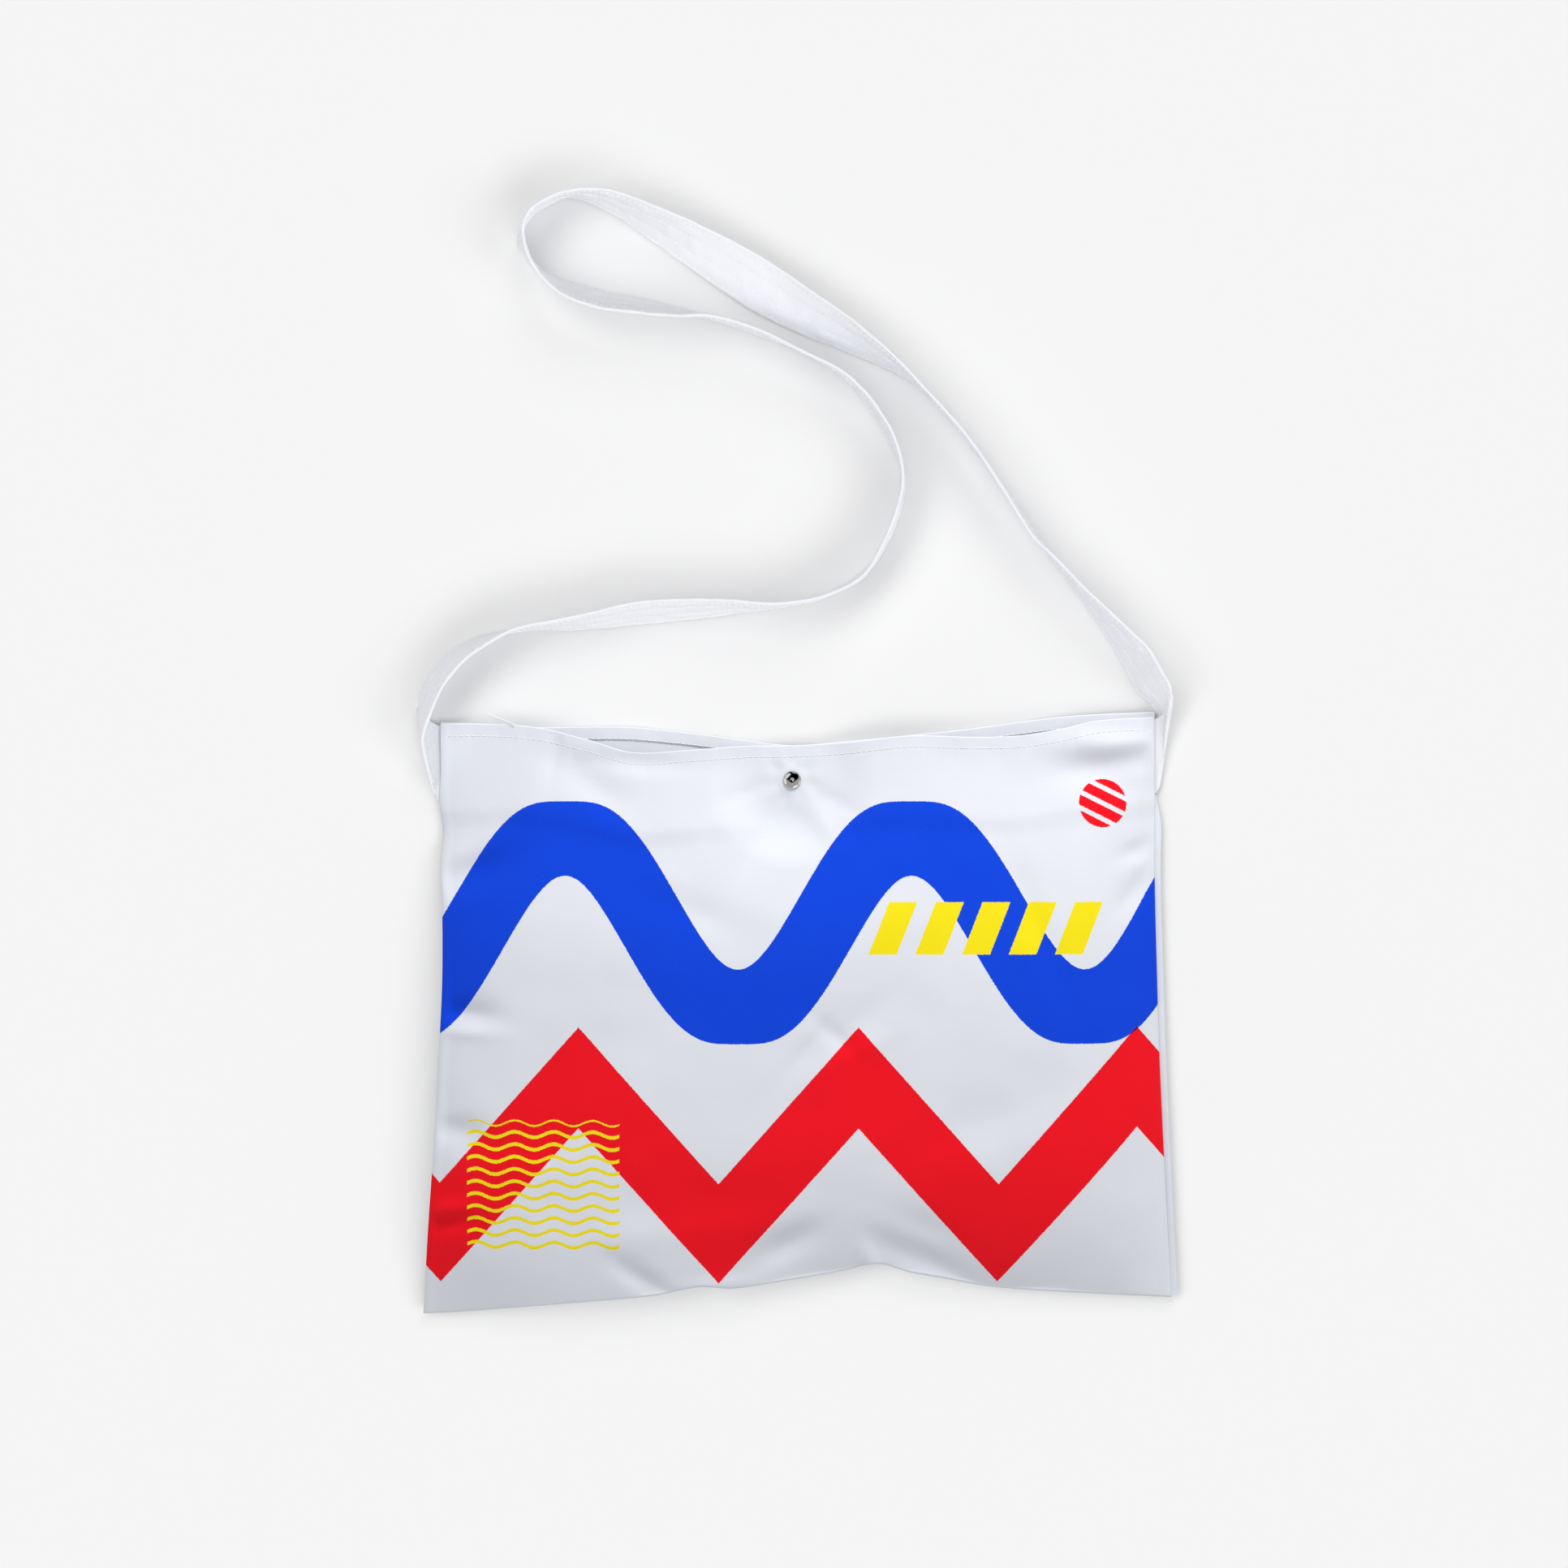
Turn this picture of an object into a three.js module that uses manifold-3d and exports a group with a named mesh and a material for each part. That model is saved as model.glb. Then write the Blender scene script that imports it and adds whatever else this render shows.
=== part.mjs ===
import * as THREE from "three";
import { mergeVertices } from "three/addons/utils/BufferGeometryUtils.js";
import Module from "manifold-3d";

// A cycling musette: a flat cotton bag with two cloth panels, one snap and one long twisted strap.
// It lies on its back: +Z is up, +Y runs from the bottom fold to the mouth, +X to the right.
// The origin is on the surface under the middle of the bag. All sizes are in millimetres.

// Driving sizes of the bag
const BAG_WIDTH = 408;
const BAG_HEIGHT = 318;
const CLOTH = 1;
const CLEARANCE = 0.3;
const POCKET_PUFF = 27;
const MOUTH_GAP = 10;
const BOTTOM_LIFT = 17;
const SIDE_LIFT = 14;
const CORNER_LIFT = 3.4;
const HEM_DEPTH = 7;
const HEM_EXTRA = 0.8;
const HEM_STEP = 1.3;
const HEM_START = 0.03;
const HEM_MAX_SHARE = 0.4;

// How the pocket puffs up from its edges, as shares of the bag's height or width
const FOLD_RISE = 0.2;
const SIDE_REACH = 0.2;
const PUFF_FULL = 0.28;
const PUFF_ROUNDNESS = 2.5;
const SIDE_ROUNDNESS = 6;
const MOUTH_START = 0.58;
const CORNER_START_UP = 0.7;
const CORNER_START_ACROSS = 0.8;

// Driving sizes of the strap
const STRAP_WIDTH = 30;
const STRAP_THICKNESS = 2.6;
const STRAP_END_THICKNESS = 1.2;
const STRAP_REACH = 290;
const GUSSET_DEPTH = 38;
const GUSSET_INSERT = 5;
const GUSSET_FREE = 1;
const GUSSET_TOP = 1.08;
const GUSSET_ROOM = 0.05;
const GUSSET_BLEND = 0.04;

// Driving sizes of the snap fastener
const SNAP_X = -4;
const SNAP_BELOW_MOUTH = 34;
const CAP_RADIUS = 4.9;
const CAP_HEIGHT = 1.7;
const CAP_RIM = 0.5;
const SOCKET_RADIUS = 4.5;
const SOCKET_HEIGHT = 1.6;
const SOCKET_BORE = 1.9;
const STUD_RADIUS = 4.3;
const STUD_FLANGE = 0.8;
const STUD_HEAD_RADIUS = 1.5;
const BASE_RADIUS = 4.5;
const BASE_FLANGE = 0.9;
const SHANK_RADIUS = 1.2;
const SNAP_FLAT = 15;
const SNAP_PULL = 48;

// How finely each piece is faceted
const FRONT_COLUMNS = 34;
const FRONT_ROWS = 24;
const BACK_COLUMNS = 34;
const BACK_ROWS = 24;
const STRAP_COLUMNS = 4;
const STRAP_STEPS = 92;
const ROUND_SEGMENTS = 20;

// Side edges: up is the share of the way from the bottom to the mouth, the others are shares of
// BAG_WIDTH from the centre line. The back panel shows as a narrow strip past the right-hand seam.
// liftLeft and liftRight are the shares of SIDE_LIFT that the edges stand off the surface.
const SIDES = [
  { up: 0.0, left: -0.4984, seam: 0.4922, right: 0.5009, liftLeft: 0.3, liftRight: 0.2 },
  { up: 0.15, left: -0.4902, seam: 0.4861, right: 0.4948, liftLeft: 0.9, liftRight: 0.4 },
  { up: 0.29, left: -0.4824, seam: 0.4808, right: 0.4894, liftLeft: 1, liftRight: 0.4 },
  { up: 0.42, left: -0.4770, seam: 0.4766, right: 0.4853, liftLeft: 1, liftRight: 0.35 },
  { up: 0.56, left: -0.4719, seam: 0.4735, right: 0.4821, liftLeft: 0.9, liftRight: 0.3 },
  { up: 0.7, left: -0.4728, seam: 0.4708, right: 0.4789, liftLeft: 0.6, liftRight: 0.3 },
  { up: 0.76, left: -0.4757, seam: 0.4705, right: 0.4791, liftLeft: 0.35, liftRight: 0.25 },
  { up: 0.81, left: -0.4721, seam: 0.4708, right: 0.4794, liftLeft: 0.12, liftRight: 0.15 },
  { up: 0.87, left: -0.4778, seam: 0.4707, right: 0.4713, liftLeft: 0, liftRight: 0 },
  { up: 0.91, left: -0.4762, seam: 0.4702, right: 0.4713, liftLeft: 0, liftRight: 0 },
  { up: 1.0, left: -0.4767, seam: 0.4702, right: 0.4713, liftLeft: 0, liftRight: 0 },
];

// Bottom fold: across is the share of the way from left to right, rise is a share of BAG_HEIGHT
// above the bottom line, lift is the share of BOTTOM_LIFT that the fold stands off the surface.
const BOTTOM = [
  { across: 0.0, rise: -0.0105, lift: 0.0 },
  { across: 0.055, rise: -0.0065, lift: 0.2 },
  { across: 0.175, rise: 0.0087, lift: 0.85 },
  { across: 0.31, rise: 0.0246, lift: 1.0 },
  { across: 0.37, rise: 0.0394, lift: 1.0 },
  { across: 0.415, rise: 0.0362, lift: 0.92 },
  { across: 0.485, rise: 0.0487, lift: 0.82 },
  { across: 0.55, rise: 0.0625, lift: 0.75 },
  { across: 0.608, rise: 0.0767, lift: 0.7 },
  { across: 0.65, rise: 0.0620, lift: 0.65 },
  { across: 0.69, rise: 0.0527, lift: 0.6 },
  { across: 0.755, rise: 0.0375, lift: 0.5 },
  { across: 0.84, rise: 0.0283, lift: 0.4 },
  { across: 1.0, rise: 0.0181, lift: 0.2 },
];

// Mouth: how far each hem hangs below the mouth line, as shares of BAG_HEIGHT, and how far the two
// hems stand apart, as a share of MOUTH_GAP. The snap closes the middle.
const MOUTH = [
  { across: 0.0, front: 0.0116, back: 0.0089, open: 0.0 },
  { across: 0.07, front: 0.0116, back: 0.0116, open: 0.25 },
  { across: 0.14, front: 0.0185, back: 0.0172, open: 0.6 },
  { across: 0.21, front: 0.0393, back: 0.0162, open: 0.9 },
  { across: 0.27, front: 0.06, back: 0.0172, open: 1.0 },
  { across: 0.35, front: 0.0559, back: 0.0268, open: 0.9 },
  { across: 0.43, front: 0.049, back: 0.0393, open: 0.6 },
  { across: 0.49, front: 0.0483, back: 0.0476, open: 0.45 },
  { across: 0.57, front: 0.0429, back: 0.0407, open: 0.55 },
  { across: 0.66, front: 0.0315, back: 0.0303, open: 0.8 },
  { across: 0.74, front: 0.0338, back: 0.0199, open: 0.95 },
  { across: 0.81, front: 0.0315, back: 0.0082, open: 0.9 },
  { across: 0.87, front: 0.0199, back: -0.0008, open: 0.7 },
  { across: 0.92, front: 0.0061, back: -0.005, open: 0.4 },
  { across: 1.0, front: 0.0, back: -0.0091, open: 0.0 },
];

// Folds and dents of the front panel: x is a share of BAG_WIDTH from the centre line, y a share of
// BAG_HEIGHT from the middle, turn is in degrees, long and wide are shares of BAG_WIDTH, and depth
// is a share of POCKET_PUFF, negative for a dent.
const FOLDS = [
  { name: "right mouth dent", x: 0.415, y: 0.395, turn: -8, long: 0.075, wide: 0.028, depth: -0.2 },
  { name: "ridge over that dent", x: 0.4, y: 0.455, turn: -6, long: 0.08, wide: 0.02, depth: 0.09 },
  { name: "left mouth dent", x: -0.28, y: 0.39, turn: -35, long: 0.07, wide: 0.025, depth: -0.1 },
  { name: "upper left dent", x: -0.43, y: 0.225, turn: 25, long: 0.05, wide: 0.02, depth: -0.16 },
  { name: "middle left dent", x: -0.455, y: 0.0, turn: 10, long: 0.045, wide: 0.018, depth: -0.15 },
  { name: "lower left dent", x: -0.46, y: -0.21, turn: -10, long: 0.05, wide: 0.02, depth: -0.15 },
  { name: "middle crease", x: 0.05, y: -0.04, turn: 38, long: 0.09, wide: 0.02, depth: -0.06 },
  { name: "ridge at the notch", x: 0.13, y: -0.39, turn: -28, long: 0.05, wide: 0.02, depth: 0.1 },
  { name: "hollow beside it", x: 0.17, y: -0.37, turn: -30, long: 0.05, wide: 0.022, depth: -0.1 },
  { name: "long bottom roll", x: -0.12, y: -0.37, turn: 6, long: 0.2, wide: 0.025, depth: 0.06 },
];

// The strap between its two gussets: x is a share of BAG_WIDTH from the centre line, y a share of
// STRAP_REACH above the mouth line, tilt is the angle of the band in degrees, 90 on edge and 0 flat,
// lift is a share of STRAP_WIDTH that the lower edge stands off the surface.
const STRAP_RUN = [
  { x: -0.493, y: 0.03, tilt: 113, lift: 0.03 },
  { x: -0.481, y: 0.068, tilt: 115, lift: 0.02 },
  { x: -0.452, y: 0.113, tilt: 111, lift: 0 },
  { x: -0.416, y: 0.142, tilt: 103, lift: 0 },
  { x: -0.373, y: 0.162, tilt: 91, lift: 0 },
  { x: -0.266, y: 0.181, tilt: 76, lift: 0 },
  { x: -0.217, y: 0.192, tilt: 70, lift: 0 },
  { x: -0.153, y: 0.2, tilt: 71, lift: 0 },
  { x: -0.092, y: 0.204, tilt: 78, lift: 0 },
  { x: -0.03, y: 0.208, tilt: 88, lift: 0 },
  { x: 0.028, y: 0.224, tilt: 92, lift: 0 },
  { x: 0.078, y: 0.259, tilt: 95, lift: 0 },
  { x: 0.104, y: 0.301, tilt: 89, lift: 0 },
  { x: 0.129, y: 0.376, tilt: 86, lift: 0 },
  { x: 0.136, y: 0.434, tilt: 89, lift: 0 },
  { x: 0.13, y: 0.487, tilt: 91, lift: 0 },
  { x: 0.111, y: 0.545, tilt: 93, lift: 0 },
  { x: 0.068, y: 0.625, tilt: 89, lift: 0 },
  { x: -0.003, y: 0.683, tilt: 85, lift: 0 },
  { x: -0.056, y: 0.715, tilt: 89, lift: 0 },
  { x: -0.116, y: 0.742, tilt: 86, lift: 0 },
  { x: -0.162, y: 0.752, tilt: 75, lift: 0 },
  { x: -0.212, y: 0.764, tilt: 69, lift: 0 },
  { x: -0.267, y: 0.777, tilt: 66, lift: 0 },
  { x: -0.313, y: 0.799, tilt: 71, lift: 0 },
  { x: -0.35, y: 0.839, tilt: 88, lift: 0 },
  { x: -0.367, y: 0.89, tilt: 98, lift: 0 },
  { x: -0.361, y: 0.921, tilt: 93, lift: 0 },
  { x: -0.348, y: 0.943, tilt: 92, lift: 0 },
  { x: -0.306, y: 0.971, tilt: 92, lift: 0 },
  { x: -0.255, y: 0.962, tilt: 78, lift: 0 },
  { x: -0.183, y: 0.911, tilt: 58, lift: 0.02 },
  { x: -0.105, y: 0.848, tilt: 37, lift: 0.06 },
  { x: -0.045, y: 0.796, tilt: 32, lift: 0.08 },
  { x: 0.014, y: 0.747, tilt: 46, lift: 0.05 },
  { x: 0.061, y: 0.71, tilt: 60, lift: 0.02 },
  { x: 0.116, y: 0.662, tilt: 80, lift: 0 },
  { x: 0.157, y: 0.619, tilt: 92, lift: 0 },
  { x: 0.213, y: 0.532, tilt: 93, lift: 0 },
  { x: 0.266, y: 0.428, tilt: 95, lift: 0 },
  { x: 0.309, y: 0.338, tilt: 98, lift: 0 },
  { x: 0.336, y: 0.294, tilt: 93, lift: 0 },
  { x: 0.379, y: 0.223, tilt: 85, lift: 0 },
  { x: 0.427, y: 0.145, tilt: 70, lift: 0 },
  { x: 0.446, y: 0.11, tilt: 62, lift: 0 },
  { x: 0.463, y: 0.065, tilt: 60, lift: 0.01 },
];

// The gussets, from the seam outwards. The high and the low edge of the strap have a table each, and
// their rows go together: out is a share of STRAP_WIDTH away from the seam, up a share of
// GUSSET_DEPTH above the gusset's tip, z a share of STRAP_WIDTH above the seam, and thick a share of
// STRAP_THICKNESS.
const LEFT_GUSSET_HIGH = [
  { out: 0.06, up: 0.07, z: 0.0, thick: 0.5 },
  { out: 0.1, up: 0.14, z: 0.05, thick: 0.5 },
  { out: 0.15, up: 0.32, z: 0.25, thick: 0.7 },
  { out: 0.23, up: 0.62, z: 0.5, thick: 1 },
  { out: 0.25, up: 0.88, z: 0.78, thick: 1 },
];
const LEFT_GUSSET_LOW = [
  { out: 0.2, up: 1.16, z: 0.0, thick: 0.8 },
  { out: 0.36, up: 1.25, z: 0.02, thick: 0.9 },
  { out: 0.39, up: 1.3, z: 0.06, thick: 1 },
  { out: 0.39, up: 1.34, z: 0.03, thick: 1 },
  { out: 0.38, up: 1.38, z: 0.02, thick: 1 },
];
const RIGHT_GUSSET_HIGH = [
  { out: 0.14, up: 1.12, z: 0.03, thick: 0.5 },
  { out: 0.27, up: 1.24, z: 0.13, thick: 1 },
  { out: 0.28, up: 1.33, z: 0.35, thick: 1 },
  { out: 0.25, up: 1.43, z: 0.57, thick: 1 },
  { out: 0.22, up: 1.54, z: 0.68, thick: 1 },
];
const RIGHT_GUSSET_LOW = [
  { out: 0.04, up: 0.02, z: 0.0, thick: 0.5 },
  { out: 0.08, up: 0.06, z: -0.04, thick: 0.5 },
  { out: 0.1, up: 0.3, z: -0.1, thick: 0.6 },
  { out: 0.12, up: 1.1, z: -0.13, thick: 0.8 },
  { out: -0.06, up: 1.26, z: -0.14, thick: 1 },
];

const MOUTH_LINE = BAG_HEIGHT / 2;
const BOTTOM_LINE = -BAG_HEIGHT / 2;
const SNAP_Y = MOUTH_LINE - SNAP_BELOW_MOUTH;
const GUSSET_TIP = 1 - (GUSSET_DEPTH + BAG_HEIGHT * MOUTH[0].front) / BAG_HEIGHT;

// The snap's pieces stand on each other, each a clearance apart, with both panels between them.
const BASE_TOP = BASE_FLANGE;
const BACK_AT_SNAP = BASE_TOP + CLEARANCE;
const STUD_BOTTOM = BACK_AT_SNAP + CLOTH + CLEARANCE;
const SOCKET_BOTTOM = STUD_BOTTOM + STUD_FLANGE + CLEARANCE;
const SOCKET_TOP = SOCKET_BOTTOM + SOCKET_HEIGHT;
const FRONT_AT_SNAP = SOCKET_TOP + CLEARANCE;
const CAP_BOTTOM = FRONT_AT_SNAP + CLOTH + CLEARANCE;
const GAP_AT_SNAP = FRONT_AT_SNAP - BACK_AT_SNAP - CLOTH;

const CLOTH_MATERIAL = new THREE.MeshStandardMaterial({ color: 0xe6e8ef, roughness: 0.92 });
const STRAP_MATERIAL = new THREE.MeshStandardMaterial({ color: 0xecedf2, roughness: 0.9 });
const STEEL_MATERIAL = new THREE.MeshStandardMaterial({ color: 0xb9bcc2, roughness: 0.22, metalness: 1 });

const wasm = await Module();
wasm.setup();

function smooth(value) {
  const share = Math.min(Math.max(value, 0), 1);
  return share * share * (3 - 2 * share);
}

// One column of a table as a smooth curve along its key column.
function follow(table, key, column, at) {
  let i = 0;
  while (i < table.length - 2 && at > table[i + 1][key]) i += 1;
  const from = table[i];
  const to = table[i + 1];
  const before = table[Math.max(i - 1, 0)];
  const after = table[Math.min(i + 2, table.length - 1)];
  const span = to[key] - from[key];
  const share = Math.min(Math.max((at - from[key]) / span, 0), 1);
  const startSlope = ((to[column] - before[column]) / (to[key] - before[key])) * span;
  const endSlope = ((after[column] - from[column]) / (after[key] - from[key])) * span;
  const s2 = share * share;
  const s3 = s2 * share;
  return (
    (2 * s3 - 3 * s2 + 1) * from[column] +
    (s3 - 2 * s2 + share) * startSlope +
    (3 * s2 - 2 * s3) * to[column] +
    (s3 - s2) * endSlope
  );
}

// A point of a panel in plan: across runs from the left edge to the right edge, up from the bottom
// fold to the mouth. side is the column of SIDES that holds the right edge, face that of MOUTH.
function planPoint(across, up, side, face) {
  const left = follow(SIDES, "up", "left", up) * BAG_WIDTH;
  const right = follow(SIDES, "up", side, up) * BAG_WIDTH;
  const bottom = BOTTOM_LINE + follow(BOTTOM, "across", "rise", across) * BAG_HEIGHT;
  const top = MOUTH_LINE - follow(MOUTH, "across", face, across) * BAG_HEIGHT;
  return { x: left + (right - left) * across, y: bottom + (top - bottom) * up };
}

// How strongly the snap holds both panels at this place, from 0 to 1.
function snapHold(x, y, reach) {
  const distance = Math.hypot(x - SNAP_X, y - SNAP_Y);
  return 1 - smooth((distance - SNAP_FLAT) / (reach - SNAP_FLAT));
}

// Height of the back panel's underside above the surface that the bag lies on.
function backHeight(across, up, x, y) {
  const fromFold = 1 - Math.min(up / FOLD_RISE, 1);
  const bottom = BOTTOM_LIFT * follow(BOTTOM, "across", "lift", across) * fromFold * fromFold;
  const fromLeft = 1 - Math.min(across / SIDE_REACH, 1);
  const fromRight = 1 - Math.min((1 - across) / SIDE_REACH, 1);
  const left = SIDE_LIFT * follow(SIDES, "up", "liftLeft", up) * fromLeft * fromLeft;
  const right = SIDE_LIFT * follow(SIDES, "up", "liftRight", up) * fromRight * fromRight;
  const cornerUp = smooth((up - CORNER_START_UP) / (1 - CORNER_START_UP));
  const cornerAcross = smooth((across - CORNER_START_ACROSS) / (1 - CORNER_START_ACROSS));
  const corner = CORNER_LIFT * cornerUp * cornerAcross;
  const pad = BACK_AT_SNAP * snapHold(x, y, 2 * SNAP_FLAT);
  return Math.max(bottom + left + right + corner, pad);
}

// Space that the side seams leave between the panels, wider where a strap end is sewn in.
function seamSpace(up) {
  const gusset = smooth((up - GUSSET_TIP + GUSSET_ROOM) / GUSSET_BLEND);
  return CLEARANCE + (STRAP_END_THICKNESS + CLEARANCE) * gusset;
}

function foldHeight(x, y) {
  let height = 0;
  for (const fold of FOLDS) {
    const turn = THREE.MathUtils.degToRad(fold.turn);
    const dx = x - fold.x * BAG_WIDTH;
    const dy = y - fold.y * BAG_HEIGHT;
    const along = (dx * Math.cos(turn) + dy * Math.sin(turn)) / (fold.long * BAG_WIDTH);
    const aside = (dy * Math.cos(turn) - dx * Math.sin(turn)) / (fold.wide * BAG_WIDTH);
    height += fold.depth * POCKET_PUFF * Math.exp(-along * along - aside * aside);
  }
  return height;
}

// Clear distance between the two panels: the pocket of the bag.
function pocketGap(across, up, x, y) {
  const fromMiddle = Math.abs(2 * across - 1);
  const sideRise = 1 - fromMiddle ** SIDE_ROUNDNESS;
  const bottomRise = 1 - (1 - Math.min(up / PUFF_FULL, 1)) ** PUFF_ROUNDNESS;
  const towardsMouth = smooth((up - MOUTH_START) / (1 - MOUTH_START));
  const open = MOUTH_GAP * follow(MOUTH, "across", "open", across);
  const body = POCKET_PUFF * bottomRise * sideRise;
  const puffed = body + (open - body) * towardsMouth + foldHeight(x, y) * bottomRise * sideRise;
  const hold = snapHold(x, y, SNAP_PULL);
  const least = seamSpace(up);
  const free = least + Math.max(puffed, 0);
  return free + (GAP_AT_SNAP - free) * hold;
}

// A closed body between an upper and a lower grid of points, row after row.
function closedSheet(upper, lower, columns, rows) {
  const count = (columns + 1) * (rows + 1);
  const positions = [...upper, ...lower].flatMap((point) => [point.x, point.y, point.z]);
  const at = (i, j) => j * (columns + 1) + i;
  const faces = [];
  const wall = (a, b) => faces.push(count + a, count + b, b, count + a, b, a);
  for (let j = 0; j < rows; j += 1) {
    for (let i = 0; i < columns; i += 1) {
      const [a, b, c, d] = [at(i, j), at(i + 1, j), at(i + 1, j + 1), at(i, j + 1)];
      faces.push(a, b, c, a, c, d);
      faces.push(count + a, count + c, count + b, count + a, count + d, count + c);
    }
  }
  for (let i = 0; i < columns; i += 1) {
    wall(at(i, 0), at(i + 1, 0));
    wall(at(i + 1, rows), at(i, rows));
  }
  for (let j = 0; j < rows; j += 1) {
    wall(at(columns, j), at(columns, j + 1));
    wall(at(0, j + 1), at(0, j));
  }
  const geometry = new THREE.BufferGeometry();
  geometry.setAttribute("position", new THREE.Float32BufferAttribute(positions, 3));
  geometry.setIndex(faces);
  return geometry;
}

function solidFrom(geometry) {
  const bare = geometry.clone();
  bare.deleteAttribute("normal");
  bare.deleteAttribute("uv");
  const merged = mergeVertices(bare);
  return new wasm.Manifold(
    new wasm.Mesh({
      numProp: 3,
      vertProperties: new Float32Array(merged.attributes.position.array),
      triVerts: new Uint32Array(merged.index.array),
    }),
  );
}

// The geometry with the hole of the snap's shank cut through it.
function withShankHole(geometry) {
  const drill = new THREE.CylinderGeometry(
    SHANK_RADIUS + CLEARANCE,
    SHANK_RADIUS + CLEARANCE,
    4 * CAP_BOTTOM,
    ROUND_SEGMENTS,
  );
  drill.rotateX(Math.PI / 2);
  drill.translate(SNAP_X, SNAP_Y, 0);
  const mesh = solidFrom(geometry).subtract(solidFrom(drill)).getMesh();
  const cut = new THREE.BufferGeometry();
  cut.setAttribute("position", new THREE.BufferAttribute(mesh.vertProperties, 3));
  cut.setIndex(new THREE.BufferAttribute(mesh.triVerts, 1));
  return cut;
}

// Rows of a panel: even steps, and a step at the inner edge of the hem.
function panelRows(rows) {
  const hem = 1 - HEM_DEPTH / BAG_HEIGHT;
  const ups = [];
  for (let j = 0; j <= rows; j += 1) ups.push((j / rows) * (hem - HEM_STEP / BAG_HEIGHT));
  ups.push(hem, 1);
  return { ups, hem };
}

// Extra cloth of the hem on the inner side, thinning out where the panels come together.
function hemExtra(across, gap, up) {
  const fromSeam = smooth((Math.min(across, 1 - across) - HEM_START) / HEM_START);
  return Math.min(HEM_EXTRA * fromSeam, Math.max(gap - seamSpace(up), 0) * HEM_MAX_SHARE);
}

function frontPanel() {
  const { ups, hem } = panelRows(FRONT_ROWS);
  const upper = [];
  const lower = [];
  for (const up of ups) {
    for (let i = 0; i <= FRONT_COLUMNS; i += 1) {
      const across = i / FRONT_COLUMNS;
      const { x, y } = planPoint(across, up, "seam", "front");
      const gap = pocketGap(across, up, x, y);
      const inside = backHeight(across, up, x, y) + CLOTH + gap;
      const extra = up >= hem ? hemExtra(across, gap, up) : 0;
      upper.push({ x, y, z: inside + CLOTH });
      lower.push({ x, y, z: inside - extra });
    }
  }
  return withShankHole(closedSheet(upper, lower, FRONT_COLUMNS, ups.length - 1));
}

function backPanel() {
  const { ups, hem } = panelRows(BACK_ROWS);
  const upper = [];
  const lower = [];
  for (const up of ups) {
    for (let i = 0; i <= BACK_COLUMNS; i += 1) {
      const across = i / BACK_COLUMNS;
      const { x, y } = planPoint(across, up, "right", "back");
      const gap = pocketGap(across, up, x, y);
      const under = backHeight(across, up, x, y);
      const extra = up >= hem ? hemExtra(across, gap, up) : 0;
      upper.push({ x, y, z: under + CLOTH + extra });
      lower.push({ x, y, z: under });
    }
  }
  return withShankHole(closedSheet(upper, lower, BACK_COLUMNS, ups.length - 1));
}

// Lines across the strap between the gussets, each from its low edge to its high edge.
function strapRun() {
  const centres = STRAP_RUN.map(
    (row) => new THREE.Vector3(row.x * BAG_WIDTH, MOUTH_LINE + row.y * STRAP_REACH, 0),
  );
  const curve = new THREE.CatmullRomCurve3(centres, false, "centripetal");
  return STRAP_RUN.map((row, i) => {
    const along = curve.getTangent(i / (STRAP_RUN.length - 1));
    const tilt = THREE.MathUtils.degToRad(row.tilt);
    const flat = new THREE.Vector3(-along.y, along.x, 0).multiplyScalar(Math.cos(tilt));
    const half = flat.add(new THREE.Vector3(0, 0, Math.sin(tilt))).multiplyScalar(STRAP_WIDTH / 2);
    const middle = centres[i].clone();
    const face = (STRAP_THICKNESS / 2) * Math.abs(Math.cos(tilt));
    middle.z = row.lift * STRAP_WIDTH + half.z + face;
    const low = middle.clone().sub(half);
    const high = middle.clone().add(half);
    return { low, high, lowThick: STRAP_THICKNESS, highThick: STRAP_THICKNESS };
  });
}

// The lines across one gusset, from inside the seam outwards. outwards is -1 on the left and 1 on
// the right, highUp and lowUp say where along the seam each edge of the strap is sewn in.
function gussetLines(highRows, lowRows, outwards, across, side, highUp, lowUp) {
  const seamPoint = (up) => {
    const share = GUSSET_TIP + (up * GUSSET_DEPTH) / BAG_HEIGHT;
    const { x, y } = planPoint(across, share, side, "front");
    const z = backHeight(across, share, x, y) + CLOTH + CLEARANCE + STRAP_END_THICKNESS / 2;
    return new THREE.Vector3(x, y, z);
  };
  const seamLine = (out) => {
    const shift = new THREE.Vector3(outwards * out, 0, 0);
    return {
      low: seamPoint(lowUp).add(shift),
      high: seamPoint(highUp).add(shift),
      lowThick: STRAP_END_THICKNESS,
      highThick: STRAP_END_THICKNESS,
    };
  };
  const tip = seamPoint(0);
  const top = seamPoint(1);
  const place = (row) => {
    const x = tip.x + outwards * row.out * STRAP_WIDTH;
    const y = tip.y + row.up * GUSSET_DEPTH;
    const seamZ = tip.z + (top.z - tip.z) * Math.min(row.up, 1);
    return new THREE.Vector3(x, y, Math.max(seamZ + row.z * STRAP_WIDTH, STRAP_THICKNESS / 2));
  };
  const rows = highRows.map((high, i) => ({
    low: place(lowRows[i]),
    high: place(high),
    lowThick: lowRows[i].thick * STRAP_THICKNESS,
    highThick: high.thick * STRAP_THICKNESS,
  }));
  return [seamLine(-GUSSET_INSERT), seamLine(GUSSET_FREE), ...rows];
}

function strapLines() {
  const left = gussetLines(LEFT_GUSSET_HIGH, LEFT_GUSSET_LOW, -1, 0, "left", 0, GUSSET_TOP);
  const right = gussetLines(RIGHT_GUSSET_HIGH, RIGHT_GUSSET_LOW, 1, 1, "seam", GUSSET_TOP, 0);
  return [...left, ...strapRun(), ...right.reverse()];
}

// The point itself, or the one above it on the surface that the bag lies on.
function onSurface(point) {
  point.z = Math.max(point.z, 0);
  return point;
}

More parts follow.
